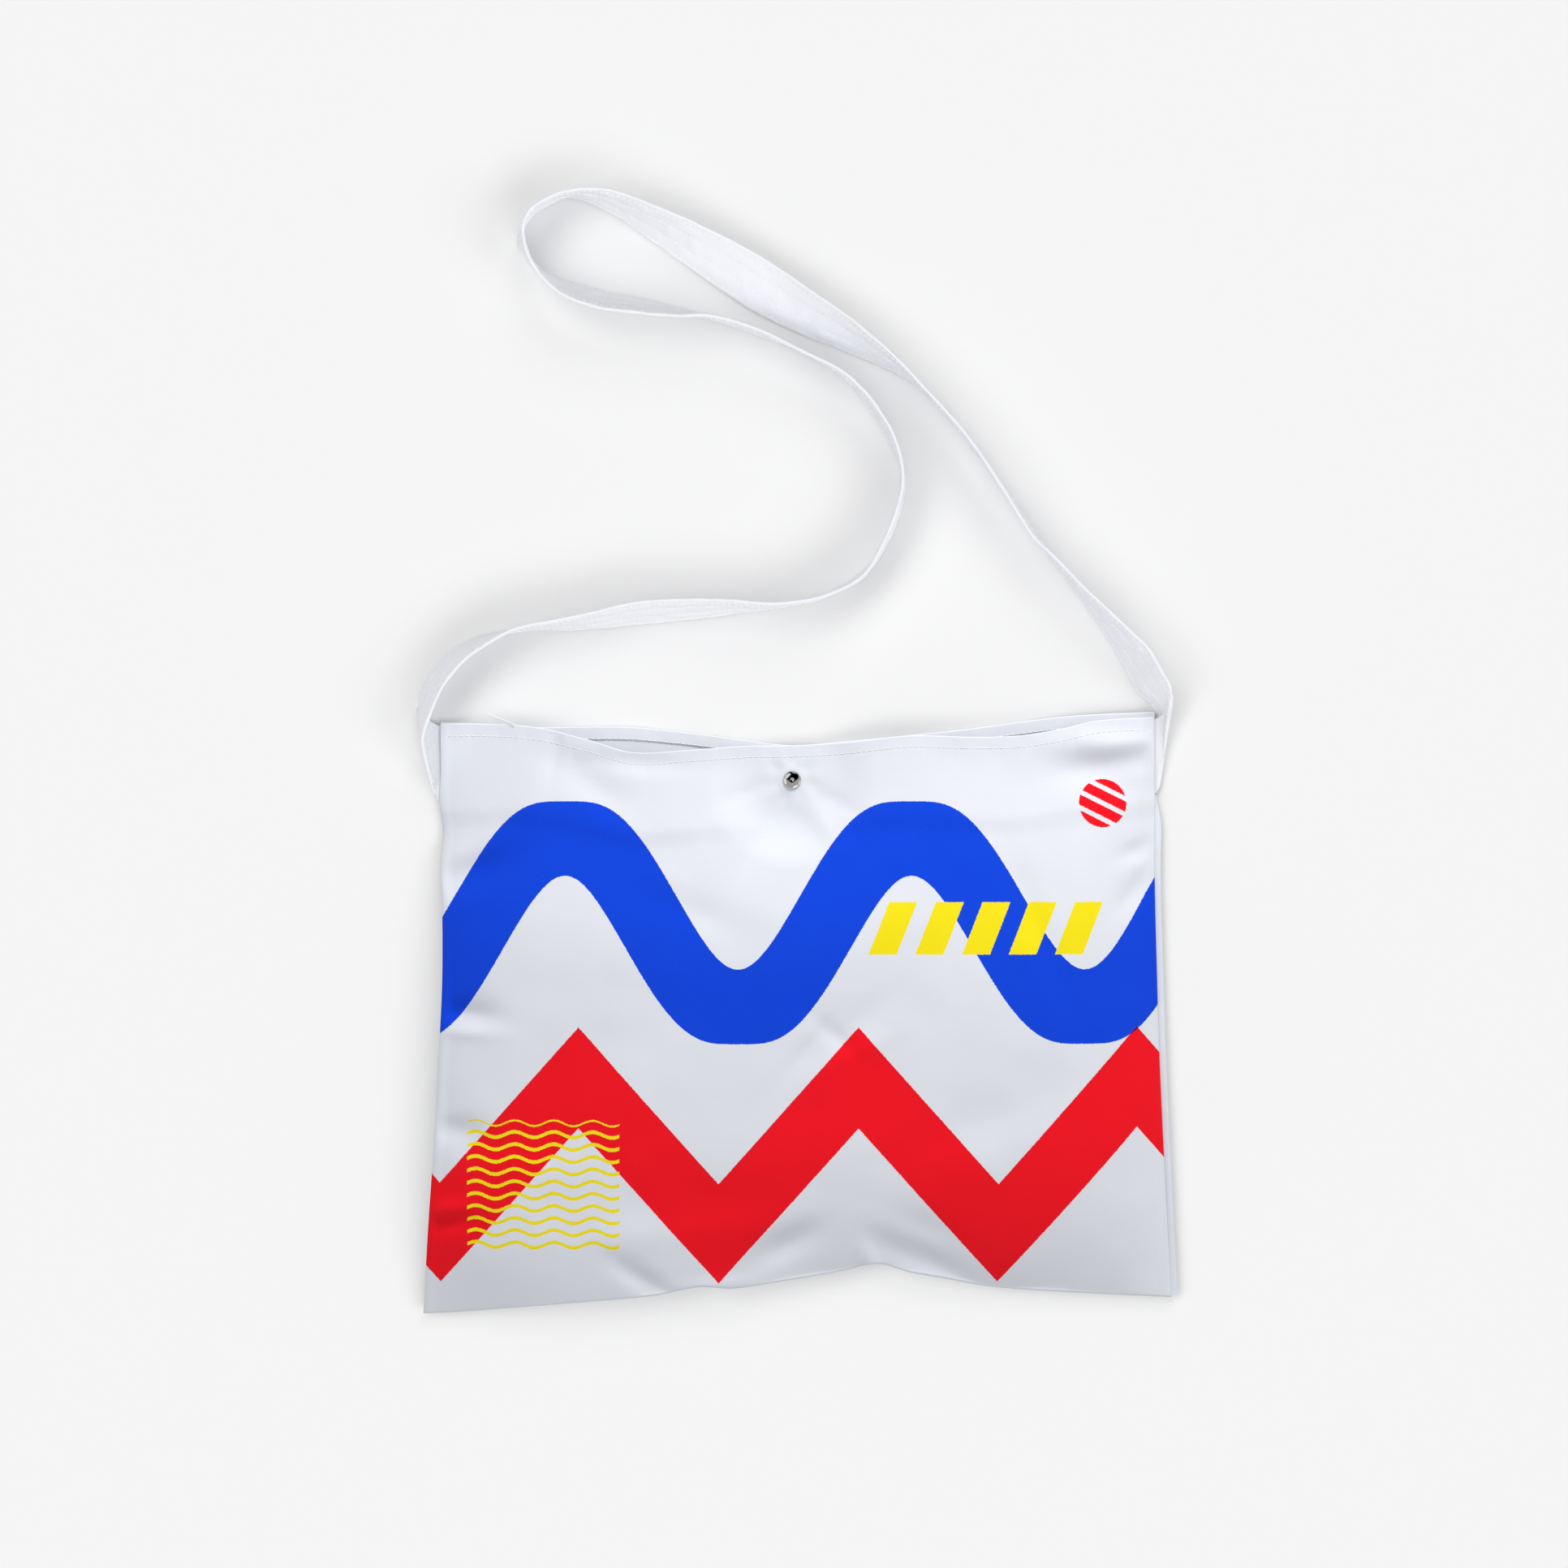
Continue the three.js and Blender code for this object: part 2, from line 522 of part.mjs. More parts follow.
function strap() {
  const lines = strapLines();
  const lowCurve = new THREE.CatmullRomCurve3(lines.map((line) => line.low), false, "centripetal");
  const highCurve = new THREE.CatmullRomCurve3(lines.map((line) => line.high), false, "centripetal");
  const grid = [];
  for (let j = 0; j <= STRAP_STEPS; j += 1) {
    const at = j / STRAP_STEPS;
    const place = at * (lines.length - 1);
    const from = lines[Math.min(Math.floor(place), lines.length - 2)];
    const to = lines[Math.min(Math.floor(place) + 1, lines.length - 1)];
    const share = place - Math.min(Math.floor(place), lines.length - 2);
    const low = lowCurve.getPoint(at);
    const high = highCurve.getPoint(at);
    for (let i = 0; i <= STRAP_COLUMNS; i += 1) {
      const across = i / STRAP_COLUMNS;
      const point = low.clone().lerp(high, across);
      const thickLow = from.lowThick + (to.lowThick - from.lowThick) * share;
      const thickHigh = from.highThick + (to.highThick - from.highThick) * share;
      grid.push({ point, thick: thickLow + (thickHigh - thickLow) * across });
    }
  }
  const at = (i, j) => grid[j * (STRAP_COLUMNS + 1) + i].point;
  const upper = [];
  const lower = [];
  grid.forEach(({ point, thick }, k) => {
    const i = k % (STRAP_COLUMNS + 1);
    const j = Math.floor(k / (STRAP_COLUMNS + 1));
    const before = at(i, Math.max(j - 1, 0));
    const after = at(i, Math.min(j + 1, STRAP_STEPS));
    const along = after.clone().sub(before);
    const aside = at(STRAP_COLUMNS, j).clone().sub(at(0, j));
    const offset = aside.cross(along).normalize().multiplyScalar(thick / 2);
    upper.push(onSurface(point.clone().add(offset)));
    lower.push(onSurface(point.clone().sub(offset)));
  });
  return closedSheet(upper, lower, STRAP_COLUMNS, STRAP_STEPS);
}

// A turned piece of the snap from its radius and height pairs, bottom to top.
function turned(profile) {
  const points = profile.map(([radius, height]) => new THREE.Vector2(radius, height));
  const geometry = new THREE.LatheGeometry(points, ROUND_SEGMENTS);
  geometry.rotateX(Math.PI / 2);
  return geometry;
}

function snapCap() {
  const rim = CAP_BOTTOM + CAP_RIM;
  const dome = [1, 0.92, 0.75, 0.5, 0.25, 0].map((share) => [
    share * CAP_RADIUS,
    rim + (CAP_HEIGHT - CAP_RIM) * Math.sqrt(1 - share ** 2.4),
  ]);
  return turned([
    [0, FRONT_AT_SNAP],
    [SHANK_RADIUS, FRONT_AT_SNAP],
    [SHANK_RADIUS, CAP_BOTTOM],
    [0.94 * CAP_RADIUS, CAP_BOTTOM],
    ...dome,
  ]);
}

function snapSocket() {
  return turned([
    [SOCKET_BORE, SOCKET_BOTTOM],
    [0.92 * SOCKET_RADIUS, SOCKET_BOTTOM],
    [SOCKET_RADIUS, SOCKET_BOTTOM + 0.3 * SOCKET_HEIGHT],
    [SOCKET_RADIUS, SOCKET_TOP],
    [SOCKET_BORE, SOCKET_TOP],
    [SOCKET_BORE, SOCKET_BOTTOM],
  ]);
}

function snapStud() {
  const flange = STUD_BOTTOM + STUD_FLANGE;
  const head = SOCKET_TOP - CLEARANCE;
  return turned([
    [0, STUD_BOTTOM],
    [STUD_RADIUS, STUD_BOTTOM],
    [STUD_RADIUS, flange],
    [STUD_HEAD_RADIUS, flange],
    [STUD_HEAD_RADIUS, head],
    [0, head],
  ]);
}

function snapBase() {
  const shankTop = STUD_BOTTOM - CLEARANCE;
  return turned([
    [0, 0],
    [0.9 * BASE_RADIUS, 0],
    [BASE_RADIUS, 0.4 * BASE_FLANGE],
    [BASE_RADIUS, BASE_TOP],
    [SHANK_RADIUS, BASE_TOP],
    [SHANK_RADIUS, shankTop],
    [0, shankTop],
  ]);
}

function piece(name, geometry, material) {
  const mesh = new THREE.Mesh(geometry, material);
  mesh.name = name;
  return mesh;
}

const musette = new THREE.Group();
musette.add(piece("back_panel", backPanel(), CLOTH_MATERIAL));
musette.add(piece("front_panel", frontPanel(), CLOTH_MATERIAL));
musette.add(piece("strap", strap(), STRAP_MATERIAL));

// The snap is one nested group, placed on the bag as a whole.
const snap = new THREE.Group();
snap.position.set(SNAP_X, SNAP_Y, 0);
snap.add(piece("snap_base", snapBase(), STEEL_MATERIAL));
snap.add(piece("snap_stud", snapStud(), STEEL_MATERIAL));
snap.add(piece("snap_socket", snapSocket(), STEEL_MATERIAL));
snap.add(piece("snap_cap", snapCap(), STEEL_MATERIAL));
musette.add(snap);

export default musette;
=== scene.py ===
import math

import bpy
import numpy as np
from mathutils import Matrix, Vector


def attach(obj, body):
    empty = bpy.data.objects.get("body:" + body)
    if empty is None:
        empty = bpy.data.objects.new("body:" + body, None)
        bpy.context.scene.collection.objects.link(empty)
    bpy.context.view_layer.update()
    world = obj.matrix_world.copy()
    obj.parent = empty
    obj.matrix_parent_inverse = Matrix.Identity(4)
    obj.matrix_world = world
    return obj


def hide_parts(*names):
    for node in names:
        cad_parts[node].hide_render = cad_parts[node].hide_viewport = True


# A cotton cycling musette lying on its back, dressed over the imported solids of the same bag.
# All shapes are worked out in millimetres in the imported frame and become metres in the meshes.

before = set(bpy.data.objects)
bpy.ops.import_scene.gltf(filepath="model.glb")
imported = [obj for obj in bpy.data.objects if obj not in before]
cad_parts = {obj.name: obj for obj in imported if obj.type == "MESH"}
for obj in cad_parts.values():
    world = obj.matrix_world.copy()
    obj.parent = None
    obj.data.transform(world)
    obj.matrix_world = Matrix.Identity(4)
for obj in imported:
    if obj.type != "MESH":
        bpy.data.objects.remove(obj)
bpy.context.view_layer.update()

MM = 0.001


def columns(names, *rows):
    """A short table as arrays, one for each named column."""
    return dict(zip(names.split(), np.array(rows, float).T))


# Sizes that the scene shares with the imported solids
BAG_WIDTH = 408
BAG_HEIGHT = 318
CLOTH = 1
CLEARANCE = 0.3
POCKET_PUFF = 27
MOUTH_GAP = 10
BOTTOM_LIFT = 17
SIDE_LIFT = 14
CORNER_LIFT = 3.4
HEM_DEPTH = 7
HEM_EXTRA = 0.8
HEM_START = 0.03
STRAP_WIDTH = 30
STRAP_THICKNESS = 2.6
STRAP_END_THICKNESS = 1.2
STRAP_REACH = 290
GUSSET_DEPTH = 38
GUSSET_INSERT = 5
GUSSET_FREE = 1
SNAP_X = -4
SNAP_BELOW_MOUTH = 34
SNAP_FLAT = 15
SNAP_PULL = 48
CAP_RADIUS = 4.9
CAP_HEIGHT = 1.7
CAP_RIM = 0.5
FRONT_AT_SNAP = 5.5
BACK_AT_SNAP = 1.2
GAP_AT_SNAP = 3.3

# How the puffed pocket rises from its edges, as shares of the bag's height and width
BOTTOM_RISE = 0.2
SIDE_REACH = 0.2
CORNER_FROM_UP = 0.7
CORNER_FROM_ACROSS = 0.8
GUSSET_EARLY = 0.05
GUSSET_BLEND = 0.04
GUSSET_TOP = 1.08
PUFF_FULL_UP = 0.28
PUFF_ROUNDNESS = 2.5
SIDE_ROUNDNESS = 6
MOUTH_FROM_UP = 0.58
HEM_SHARE = 2.5
DENT_SHARE = 0.8

# How finely the scene's own pieces are meshed
PANEL_COLUMNS = 210
PANEL_ROWS = 150
BACK_COLUMNS = 120
BACK_ROWS = 80
HEM_ROWS = 26
HEM_ZONE = 14
EDGE_STEPS = (0.12, 0.35, 0.65, 1.0)
EDGE_LEAST = 0.15
FOLD_STEPS = 7
STRAP_STEPS = 1100
STRAP_COLUMNS = 12
STRAP_EDGE_STEPS = (0.05, 0.2, 0.45, 1.0)
GROOVE_STEPS = (-1.1, -0.5, 0, 0.5, 1.1)
LEAST_COLUMN = 0.005
COLUMN_DECIMALS = 3
TANGENT_STEP = 0.001
MEASURE_STEPS = 40
NOISE_CELLS = 64

# Small relief of the cloth, in millimetres and shares
BROAD_WAVES = 1.0
BROAD_PITCH = 46
FINE_WAVES = 0.4
FINE_PITCH = 17
SNAP_PUCKER = 0.3
SNAP_PUCKERS = 7
PUCKER_RADIUS = 10
PUCKER_REACH = 5
HEM_GROOVE = 0.06
HEM_EDGE = 0.5
SEAM_ROLL = 0.45
ROLL_AT = 2.4
ROLL_WIDTH = 1.6
SEAM_DIP = 0.15
DIP_AT = 6
DIP_WIDTH = 2.2
SEAM_SPAN = 0.955
FRONT_SEAM_CALM = 7
BACK_SEAM_CALM = 12
FRONT_RIPPLE_PITCH = 3.6
BACK_RIPPLE_PITCH = 5
BACK_RIPPLE = 0.35
RIPPLE_REACH = 6
RIPPLE_STRETCH = 0.3
FOLD_BULGE = 1.2
RIPPLE_SWELL = 0.2
RIPPLE_WAVE = 0.62
RIPPLE_PITCH = 5.2
RIPPLE_SPREAD = 3
WIDE_CHANNEL = 0.16
STRAP_GROOVE = 0.1
STRAP_CALM = 25
STRAP_SWAY = 0.6
SWAY_PITCH = 34
SWAY_SPREAD = 16
STRAP_CURL = 0.14
CURL_PITCH = 11
CURL_SPREAD = 9
EDGE_WAVE = 0.3
EDGE_PITCH = 6
EDGE_CALM = 1.2
EDGE_ROUNDING = 0.35
STRAP_SLIM = 0.66

# Seeds of the soft noise, one for each use
SEED_BROAD = 11
SEED_FINE = 12
SEED_FRONT_HEM = 14
SEED_BACK_HEM = 21
SEED_OUTER = 40
SEED_INNER = 50
SEED_SWAY = 61
SEED_CURL = 62
SEED_EDGE = 63

# Stitching, in millimetres
STITCH_PITCH = 3.1
STITCH_LENGTH = 2.75
THREAD_RADIUS = 0.25
LOOSE_RADIUS = 0.35
THREAD_SIDES = 5
HEM_STITCH = 6.3
GROOVE_WIDTH = 0.6

# Rings of one stitch: share of its length, share of the thread's radius, share of it above the cloth
THREAD_PROFILE = (
    (0, 0.3, -0.8),
    (0.2, 1, 0.3),
    (0.8, 1, 0.3),
    (1, 0.3, -0.8),
)

# Stitch rows of the strap, as shares of its width from the low edge to the high one
STRAP_ROWS = (0.09, 0.345, 0.655, 0.865, 0.915)

# Creases of the front panel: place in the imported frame, turn in degrees, reach and depth, in mm
CREASES = columns(
    "x y turn long wide depth",
    (-176, 76, 25, 24, 8, -4.2),
    (-181, -1, -5, 18, 5.5, -4.0),
    (-182, -10, -5, 18, 4, 1.6),
    (-189, -63, 5, 14, 6, -3.4),
    (-190, -106, 10, 14, 4.5, 3.0),
    (-189, -114, 10, 14, 4.5, -2.6),
    (186, 88, 20, 13, 5, -3.0),
    (182, 66, 50, 16, 6, -2.6),
    (172, 134, 8, 24, 6, -2.6),
    (176, 145, 6, 26, 5, 1.2),
    (-133, 135, 80, 14, 4, -1.4),
    (-86, 134, -3, 28, 6, -1.8),
    (-18, 95, 60, 28, 7, -2.2),
    (11, 103, -50, 24, 6, 1.5),
    (-30, 118, 20, 16, 4, -0.8),
    (22, 112, -30, 18, 4, -0.8),
    (-13, 129, 100, 9, 2.4, -0.9),
    (20, -13, -40, 17, 5, -1.5),
    (8, -14, 52, 22, 4, -0.9),
    (34, -20, 30, 20, 5, 0.9),
    (-7, -125, 30, 22, 8, -4.0),
    (-86, -143, -35, 18, 6, -3.2),
    (-46, -147, 4, 20, 5, 2.0),
    (64, -132, -28, 26, 8, -4.6),
    (40, -138, -60, 14, 5, 2.2),
    (130, 40, -70, 40, 8, -1.7),
    (-120, -30, 65, 45, 9, -1.5),
    (95, -60, 20, 50, 11, -1.5),
    (-60, 55, -20, 40, 9, -1.5),
)

# How strongly the stitching gathers the front hem along the mouth, in mm
HEM_PULL = columns(
    "x depth",
    (-190, 0.1),
    (-150, 0.15),
    (-134, 0.4),
    (-100, 0.4),
    (-85, 0.15),
    (100, 0.12),
    (118, 0.4),
    (155, 0.4),
    (170, 0.15),
)

# Where the stitch rows begin, in mm, and the mean height of the panels, a share of the bag's
HEM_MARGIN = 4
STRAP_MARGIN = 9
HEM_HEIGHT_SHARE = 0.93

# The snap's cap in mm, with its underside as pairs of radius and height
CAP_RINGS = 22
CAP_SIDES = 64
CAP_CENTRE = 0.02
CAP_ROUNDNESS = 2.4
CAP_UNDERSIDE = ((0.3, 0), (0.88 * CAP_RADIUS, 0), (0.97 * CAP_RADIUS, 0.12))
DIMPLE_DEPTH = 0.28
DIMPLE_RADIUS = 0.75

# A loose thread end just over the front hem, in mm
LOOSE_THREAD = (
    (-168.1, 160.2, 5.4),
    (-164.0, 158.6, 6.6),
    (-160.2, 157.4, 7.6),
    (-156.6, 155.9, 8.6),
    (-153.6, 154.9, 9.6),
)

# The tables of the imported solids: shares of the bag's width and height, turns and tilts in degrees
SIDES = columns(
    "up left seam right liftLeft liftRight",
    (0.0, -0.4984, 0.4922, 0.5009, 0.3, 0.2),
    (0.15, -0.4902, 0.4861, 0.4948, 0.9, 0.4),
    (0.29, -0.4824, 0.4808, 0.4894, 1, 0.4),
    (0.42, -0.4770, 0.4766, 0.4853, 1, 0.35),
    (0.56, -0.4719, 0.4735, 0.4821, 0.9, 0.3),
    (0.7, -0.4728, 0.4708, 0.4789, 0.6, 0.3),
    (0.76, -0.4757, 0.4705, 0.4791, 0.35, 0.25),
    (0.81, -0.4721, 0.4708, 0.4794, 0.12, 0.15),
    (0.87, -0.4778, 0.4707, 0.4713, 0, 0),
    (0.91, -0.4762, 0.4702, 0.4713, 0, 0),
    (1.0, -0.4767, 0.4702, 0.4713, 0, 0),
)

BOTTOM = columns(
    "across rise lift",
    (0.0, -0.0105, 0.0),
    (0.055, -0.0065, 0.2),
    (0.175, 0.0087, 0.85),
    (0.31, 0.0246, 1.0),
    (0.37, 0.0394, 1.0),
    (0.415, 0.0362, 0.92),
    (0.485, 0.0487, 0.82),
    (0.55, 0.0625, 0.75),
    (0.608, 0.0767, 0.7),
    (0.65, 0.0620, 0.65),
    (0.69, 0.0527, 0.6),
    (0.755, 0.0375, 0.5),
    (0.84, 0.0283, 0.4),
    (1.0, 0.0181, 0.2),
)

MOUTH = columns(
    "across front back open",
    (0.0, 0.0116, 0.0089, 0.0),
    (0.07, 0.0116, 0.0116, 0.25),
    (0.14, 0.0185, 0.0172, 0.6),
    (0.21, 0.0393, 0.0162, 0.9),
    (0.27, 0.06, 0.0172, 1.0),
    (0.35, 0.0559, 0.0268, 0.9),
    (0.43, 0.049, 0.0393, 0.6),
    (0.49, 0.0483, 0.0476, 0.45),
    (0.57, 0.0429, 0.0407, 0.55),
    (0.66, 0.0315, 0.0303, 0.8),
    (0.74, 0.0338, 0.0199, 0.95),
    (0.81, 0.0315, 0.0082, 0.9),
    (0.87, 0.0199, -0.0008, 0.7),
    (0.92, 0.0061, -0.005, 0.4),
    (1.0, 0.0, -0.0091, 0.0),
)

FOLDS = columns(
    "x y turn long wide depth",
    (0.415, 0.395, -8, 0.075, 0.028, -0.2),
    (0.4, 0.455, -6, 0.08, 0.02, 0.09),
    (-0.28, 0.39, -35, 0.07, 0.025, -0.1),
    (-0.43, 0.225, 25, 0.05, 0.02, -0.16),
    (-0.455, 0.0, 10, 0.045, 0.018, -0.15),
    (-0.46, -0.21, -10, 0.05, 0.02, -0.15),
    (0.05, -0.04, 38, 0.09, 0.02, -0.06),
    (0.13, -0.39, -28, 0.05, 0.02, 0.1),
    (0.17, -0.37, -30, 0.05, 0.022, -0.1),
    (-0.12, -0.37, 6, 0.2, 0.025, 0.06),
)

STRAP_RUN = columns(
    "x y tilt lift",
    (-0.493, 0.03, 113, 0.03),
    (-0.481, 0.068, 115, 0.02),
    (-0.452, 0.113, 111, 0),
    (-0.416, 0.142, 103, 0),
    (-0.373, 0.162, 91, 0),
    (-0.266, 0.181, 76, 0),
    (-0.217, 0.192, 70, 0),
    (-0.153, 0.2, 71, 0),
    (-0.092, 0.204, 78, 0),
    (-0.03, 0.208, 88, 0),
    (0.028, 0.224, 92, 0),
    (0.078, 0.259, 95, 0),
    (0.104, 0.301, 89, 0),
    (0.129, 0.376, 86, 0),
    (0.136, 0.434, 89, 0),
    (0.13, 0.487, 91, 0),
    (0.111, 0.545, 93, 0),
    (0.068, 0.625, 89, 0),
    (-0.003, 0.683, 85, 0),
    (-0.056, 0.715, 89, 0),
    (-0.116, 0.742, 86, 0),
    (-0.162, 0.752, 75, 0),
    (-0.212, 0.764, 69, 0),
    (-0.267, 0.777, 66, 0),
    (-0.313, 0.799, 71, 0),
    (-0.35, 0.839, 88, 0),
    (-0.367, 0.89, 98, 0),
    (-0.361, 0.921, 93, 0),
    (-0.348, 0.943, 92, 0),
    (-0.306, 0.971, 92, 0),
    (-0.255, 0.962, 78, 0),
    (-0.183, 0.911, 58, 0.02),
    (-0.105, 0.848, 37, 0.06),
    (-0.045, 0.796, 32, 0.08),
    (0.014, 0.747, 46, 0.05),
    (0.061, 0.71, 60, 0.02),
    (0.116, 0.662, 80, 0),
    (0.157, 0.619, 92, 0),
    (0.213, 0.532, 93, 0),
    (0.266, 0.428, 95, 0),
    (0.309, 0.338, 98, 0),
    (0.336, 0.294, 93, 0),
    (0.379, 0.223, 85, 0),
    (0.427, 0.145, 70, 0),
    (0.446, 0.11, 62, 0),
    (0.463, 0.065, 60, 0.01),
)

LEFT_GUSSET = columns(
    "highOut highUp highZ highThick lowOut lowUp lowZ lowThick",
    (0.06, 0.07, 0.0, 0.5, 0.2, 1.16, 0.0, 0.8),
    (0.1, 0.14, 0.05, 0.5, 0.36, 1.25, 0.02, 0.9),
    (0.15, 0.32, 0.25, 0.7, 0.39, 1.3, 0.06, 1),
    (0.23, 0.62, 0.5, 1, 0.39, 1.34, 0.03, 1),
    (0.25, 0.88, 0.78, 1, 0.38, 1.38, 0.02, 1),
)

RIGHT_GUSSET = columns(
    "highOut highUp highZ highThick lowOut lowUp lowZ lowThick",
    (0.14, 1.12, 0.03, 0.5, 0.04, 0.02, 0.0, 0.5),
    (0.27, 1.24, 0.13, 1, 0.08, 0.06, -0.04, 0.5),
    (0.28, 1.33, 0.35, 1, 0.1, 0.3, -0.1, 0.6),
    (0.25, 1.43, 0.57, 1, 0.12, 1.1, -0.13, 0.8),
    (0.22, 1.54, 0.68, 1, -0.06, 1.26, -0.14, 1),
)

# Weave, finish and colours of the cloth: pitches in millimetres, colours linear
TWILL_PITCH = 0.62
TWILL_LEAN = 0.9
THREAD_PITCH = 0.55
SLUB_PITCH = 1.4
RIB_SHARE = 0.32
FLOAT_SHARE = 0.14
SLUB_SHARE = 0.3
WEAVE_DEPTH = 0.05
# Painted shade in the dips of the weave, as a share of the dark tint
WEAVE_PAINTED_SHADE = 0.1
PATCH_PITCH = 70
PATCH_SHARE = 0.06
CLOTH_ROUGHNESS = 0.92
CLOTH_SPECULAR = 0.1
CLOTH_SHEEN = 0.04
SHEEN_ROUGHNESS = 0.45
CLOTH_TINT = (0.82, 0.835, 0.88, 1)
STRAP_TINT = (0.84, 0.85, 0.885, 1)
# Dark tint of the painted shade in the dips of the weave, also used for the thread's random grain
PAINTED_SHADE_AND_GRAIN_TINT = (0.55, 0.56, 0.62, 1)
WORN_TINT = (0.72, 0.72, 0.74, 1)
THREAD_TINT = (0.93, 0.93, 0.94, 1)
THREAD_SHADE = 0.25
THREAD_GRAIN = 0.5
THREAD_DEPTH = 0.05

# The snap's plated steel
STEEL_TINT = (0.78, 0.76, 0.73, 1)
STEEL_WORN = (0.62, 0.6, 0.57, 1)
STEEL_ROUGHNESS = 0.03
SMUDGE_ROUGHNESS = 0.06
SMUDGE_PITCH = 2.5
SCRATCH_PITCH = 0.25
SCRATCH_DEPTH = 0.01

# The print: inks, and a plain pattern of its own, in millimetres
BLUE_INK = (0.001, 0.058, 0.72, 1)
RED_INK = (0.95, 0.003, 0.012, 1)
PURPLE_INK = (0.05, 0.001, 0.105, 1)
YELLOW_INK = (0.97, 0.8, 0.006, 1)
INK_EDGE = 0.3
INK_GRAIN = 0.8
INK_JITTER = 1.0
INK_WEAR = 0.015
WAVE_START = -172
WAVE_PITCH = 186
WAVE_MIDDLE = 49
WAVE_SWING = 45
WAVE_STROKE = 40
ZIGZAG_START = -118
ZIGZAG_PITCH = 150
ZIGZAG_MIDDLE = -76
ZIGZAG_SWING = 42
ZIGZAG_STROKE = 36
BAR_LEAN = 0.4
BAR_FIRST = 32
BAR_PITCH = 25
BAR_WIDTH = 15
BAR_COUNT = 5
BAR_BOTTOM = 32
BAR_TOP = 60
LINES_LEFT = -178
LINES_RIGHT = -96
LINES_BOTTOM = -124
LINES_TOP = -58
LINES_PITCH = 6.6
LINES_STROKE = 1.9
LINES_SWING = 1.5
LINES_WAVE = 21
DISC_X = 164
DISC_Y = 113
DISC_RADIUS = 13
DISC_STROKE = 2.8
DISC_PITCH = 8.6
DISC_LEAN = 0.5

# Camera, floor and light
CAMERA_X = -0.0084
CAMERA_Y = 0.1228
CAMERA_HEIGHT = 2.2
CAMERA_LENS = 93.17
CAMERA_SENSOR = 36
FLOOR_SIZE = 6
FLOOR_TINT = (0.85, 0.85, 0.85, 1)
SKY_TINT = (1.0, 1.0, 1.0, 1)
SKY_STRENGTH = 0.47
CEILING_FROM = 0.84
CEILING_EDGE = 0.04
CEILING_LEAN = 0.55
LIGHT_SPREAD = 30
PLAIN_LIGHT = (1.0, 1.0, 1.0)
FILL_LIGHT = (0.84, 0.89, 1.0)
KEY_STRENGTH = 11.5
KEY_SIZE = 0.6
KEY_PLACE = (0.25, 1.0, 0.8)
KEY_AIM = (0, 0.1, 0)

# Soft lights: their compass and rise in degrees, and how strongly they light each group of pieces
LIGHTS = columns(
    "compass rise floor strap bag",
    (315, 60, 0.85, 0.48, 0.22),
    (110, 38, 0.58, 0.85, 0.12),
    (155, 46, 0.6, 0.85, 0.2),
    (260, 50, 0.55, 0.75, 0.16),
    (15, 40, 0.6, 0.55, 0.15),
)

MOUTH_LINE = BAG_HEIGHT / 2
BOTTOM_LINE = -BAG_HEIGHT / 2
SNAP_Y = MOUTH_LINE - SNAP_BELOW_MOUTH
GUSSET_TIP = 1 - (GUSSET_DEPTH + BAG_HEIGHT * MOUTH["front"][0]) / BAG_HEIGHT


def smooth(value):
    share = np.clip(value, 0, 1)
    return share * share * (3 - 2 * share)


def hump(value):
    """A soft bump that is 1 at 0 and fades out by about 2."""
    return np.exp(-value * value)


def follow(table, key, column, at):
    """One column of a table as a smooth curve along its key column."""
    keys, values = table[key], table[column]
    before = np.maximum(np.arange(len(keys)) - 1, 0)
    after = np.minimum(np.arange(len(keys)) + 1, len(keys) - 1)
    slopes = (values[after] - values[before]) / (keys[after] - keys[before])
    i = np.clip(np.searchsorted(keys[1:], at), 0, len(keys) - 2)
    span = keys[i + 1] - keys[i]
    s = np.clip((at - keys[i]) / span, 0, 1)
    s2, s3 = s * s, s * s * s
    start = (2 * s3 - 3 * s2 + 1) * values[i] + (s3 - 2 * s2 + s) * slopes[i] * span
    return start + (3 * s2 - 2 * s3) * values[i + 1] + (s3 - s2) * slopes[i + 1] * span


def noise(seed, pitch, x, y=0.0):
    """Repeatable soft noise from -1 to 1, with blobs about as large as pitch."""
    lattice = np.random.default_rng(seed).uniform(-1, 1, (NOISE_CELLS, NOISE_CELLS))
    u = np.asarray(x) / pitch + NOISE_CELLS / 2
    v = np.asarray(y) / pitch + NOISE_CELLS / 2
    i, j = np.floor(u).astype(int), np.floor(v).astype(int)
    du, dv = smooth(u - i), smooth(v - j)
    i, j = i % NOISE_CELLS, j % NOISE_CELLS
    i2, j2 = (i + 1) % NOISE_CELLS, (j + 1) % NOISE_CELLS
    low = lattice[i, j] * (1 - du) + lattice[i2, j] * du
    high = lattice[i, j2] * (1 - du) + lattice[i2, j2] * du
    return low * (1 - dv) + high * dv


def plan_point(across, up, side, face):
    """A point of a panel seen from above, from its shares across and up the bag."""
    left = follow(SIDES, "up", "left", up) * BAG_WIDTH
    right = follow(SIDES, "up", side, up) * BAG_WIDTH
    bottom = BOTTOM_LINE + follow(BOTTOM, "across", "rise", across) * BAG_HEIGHT
    top = MOUTH_LINE - follow(MOUTH, "across", face, across) * BAG_HEIGHT
    return left + (right - left) * across, bottom + (top - bottom) * up


def snap_hold(x, y, reach):
    """How strongly the snap holds both panels at this place, from 0 to 1."""
    distance = np.hypot(x - SNAP_X, y - SNAP_Y)
    return 1 - smooth((distance - SNAP_FLAT) / (reach - SNAP_FLAT))


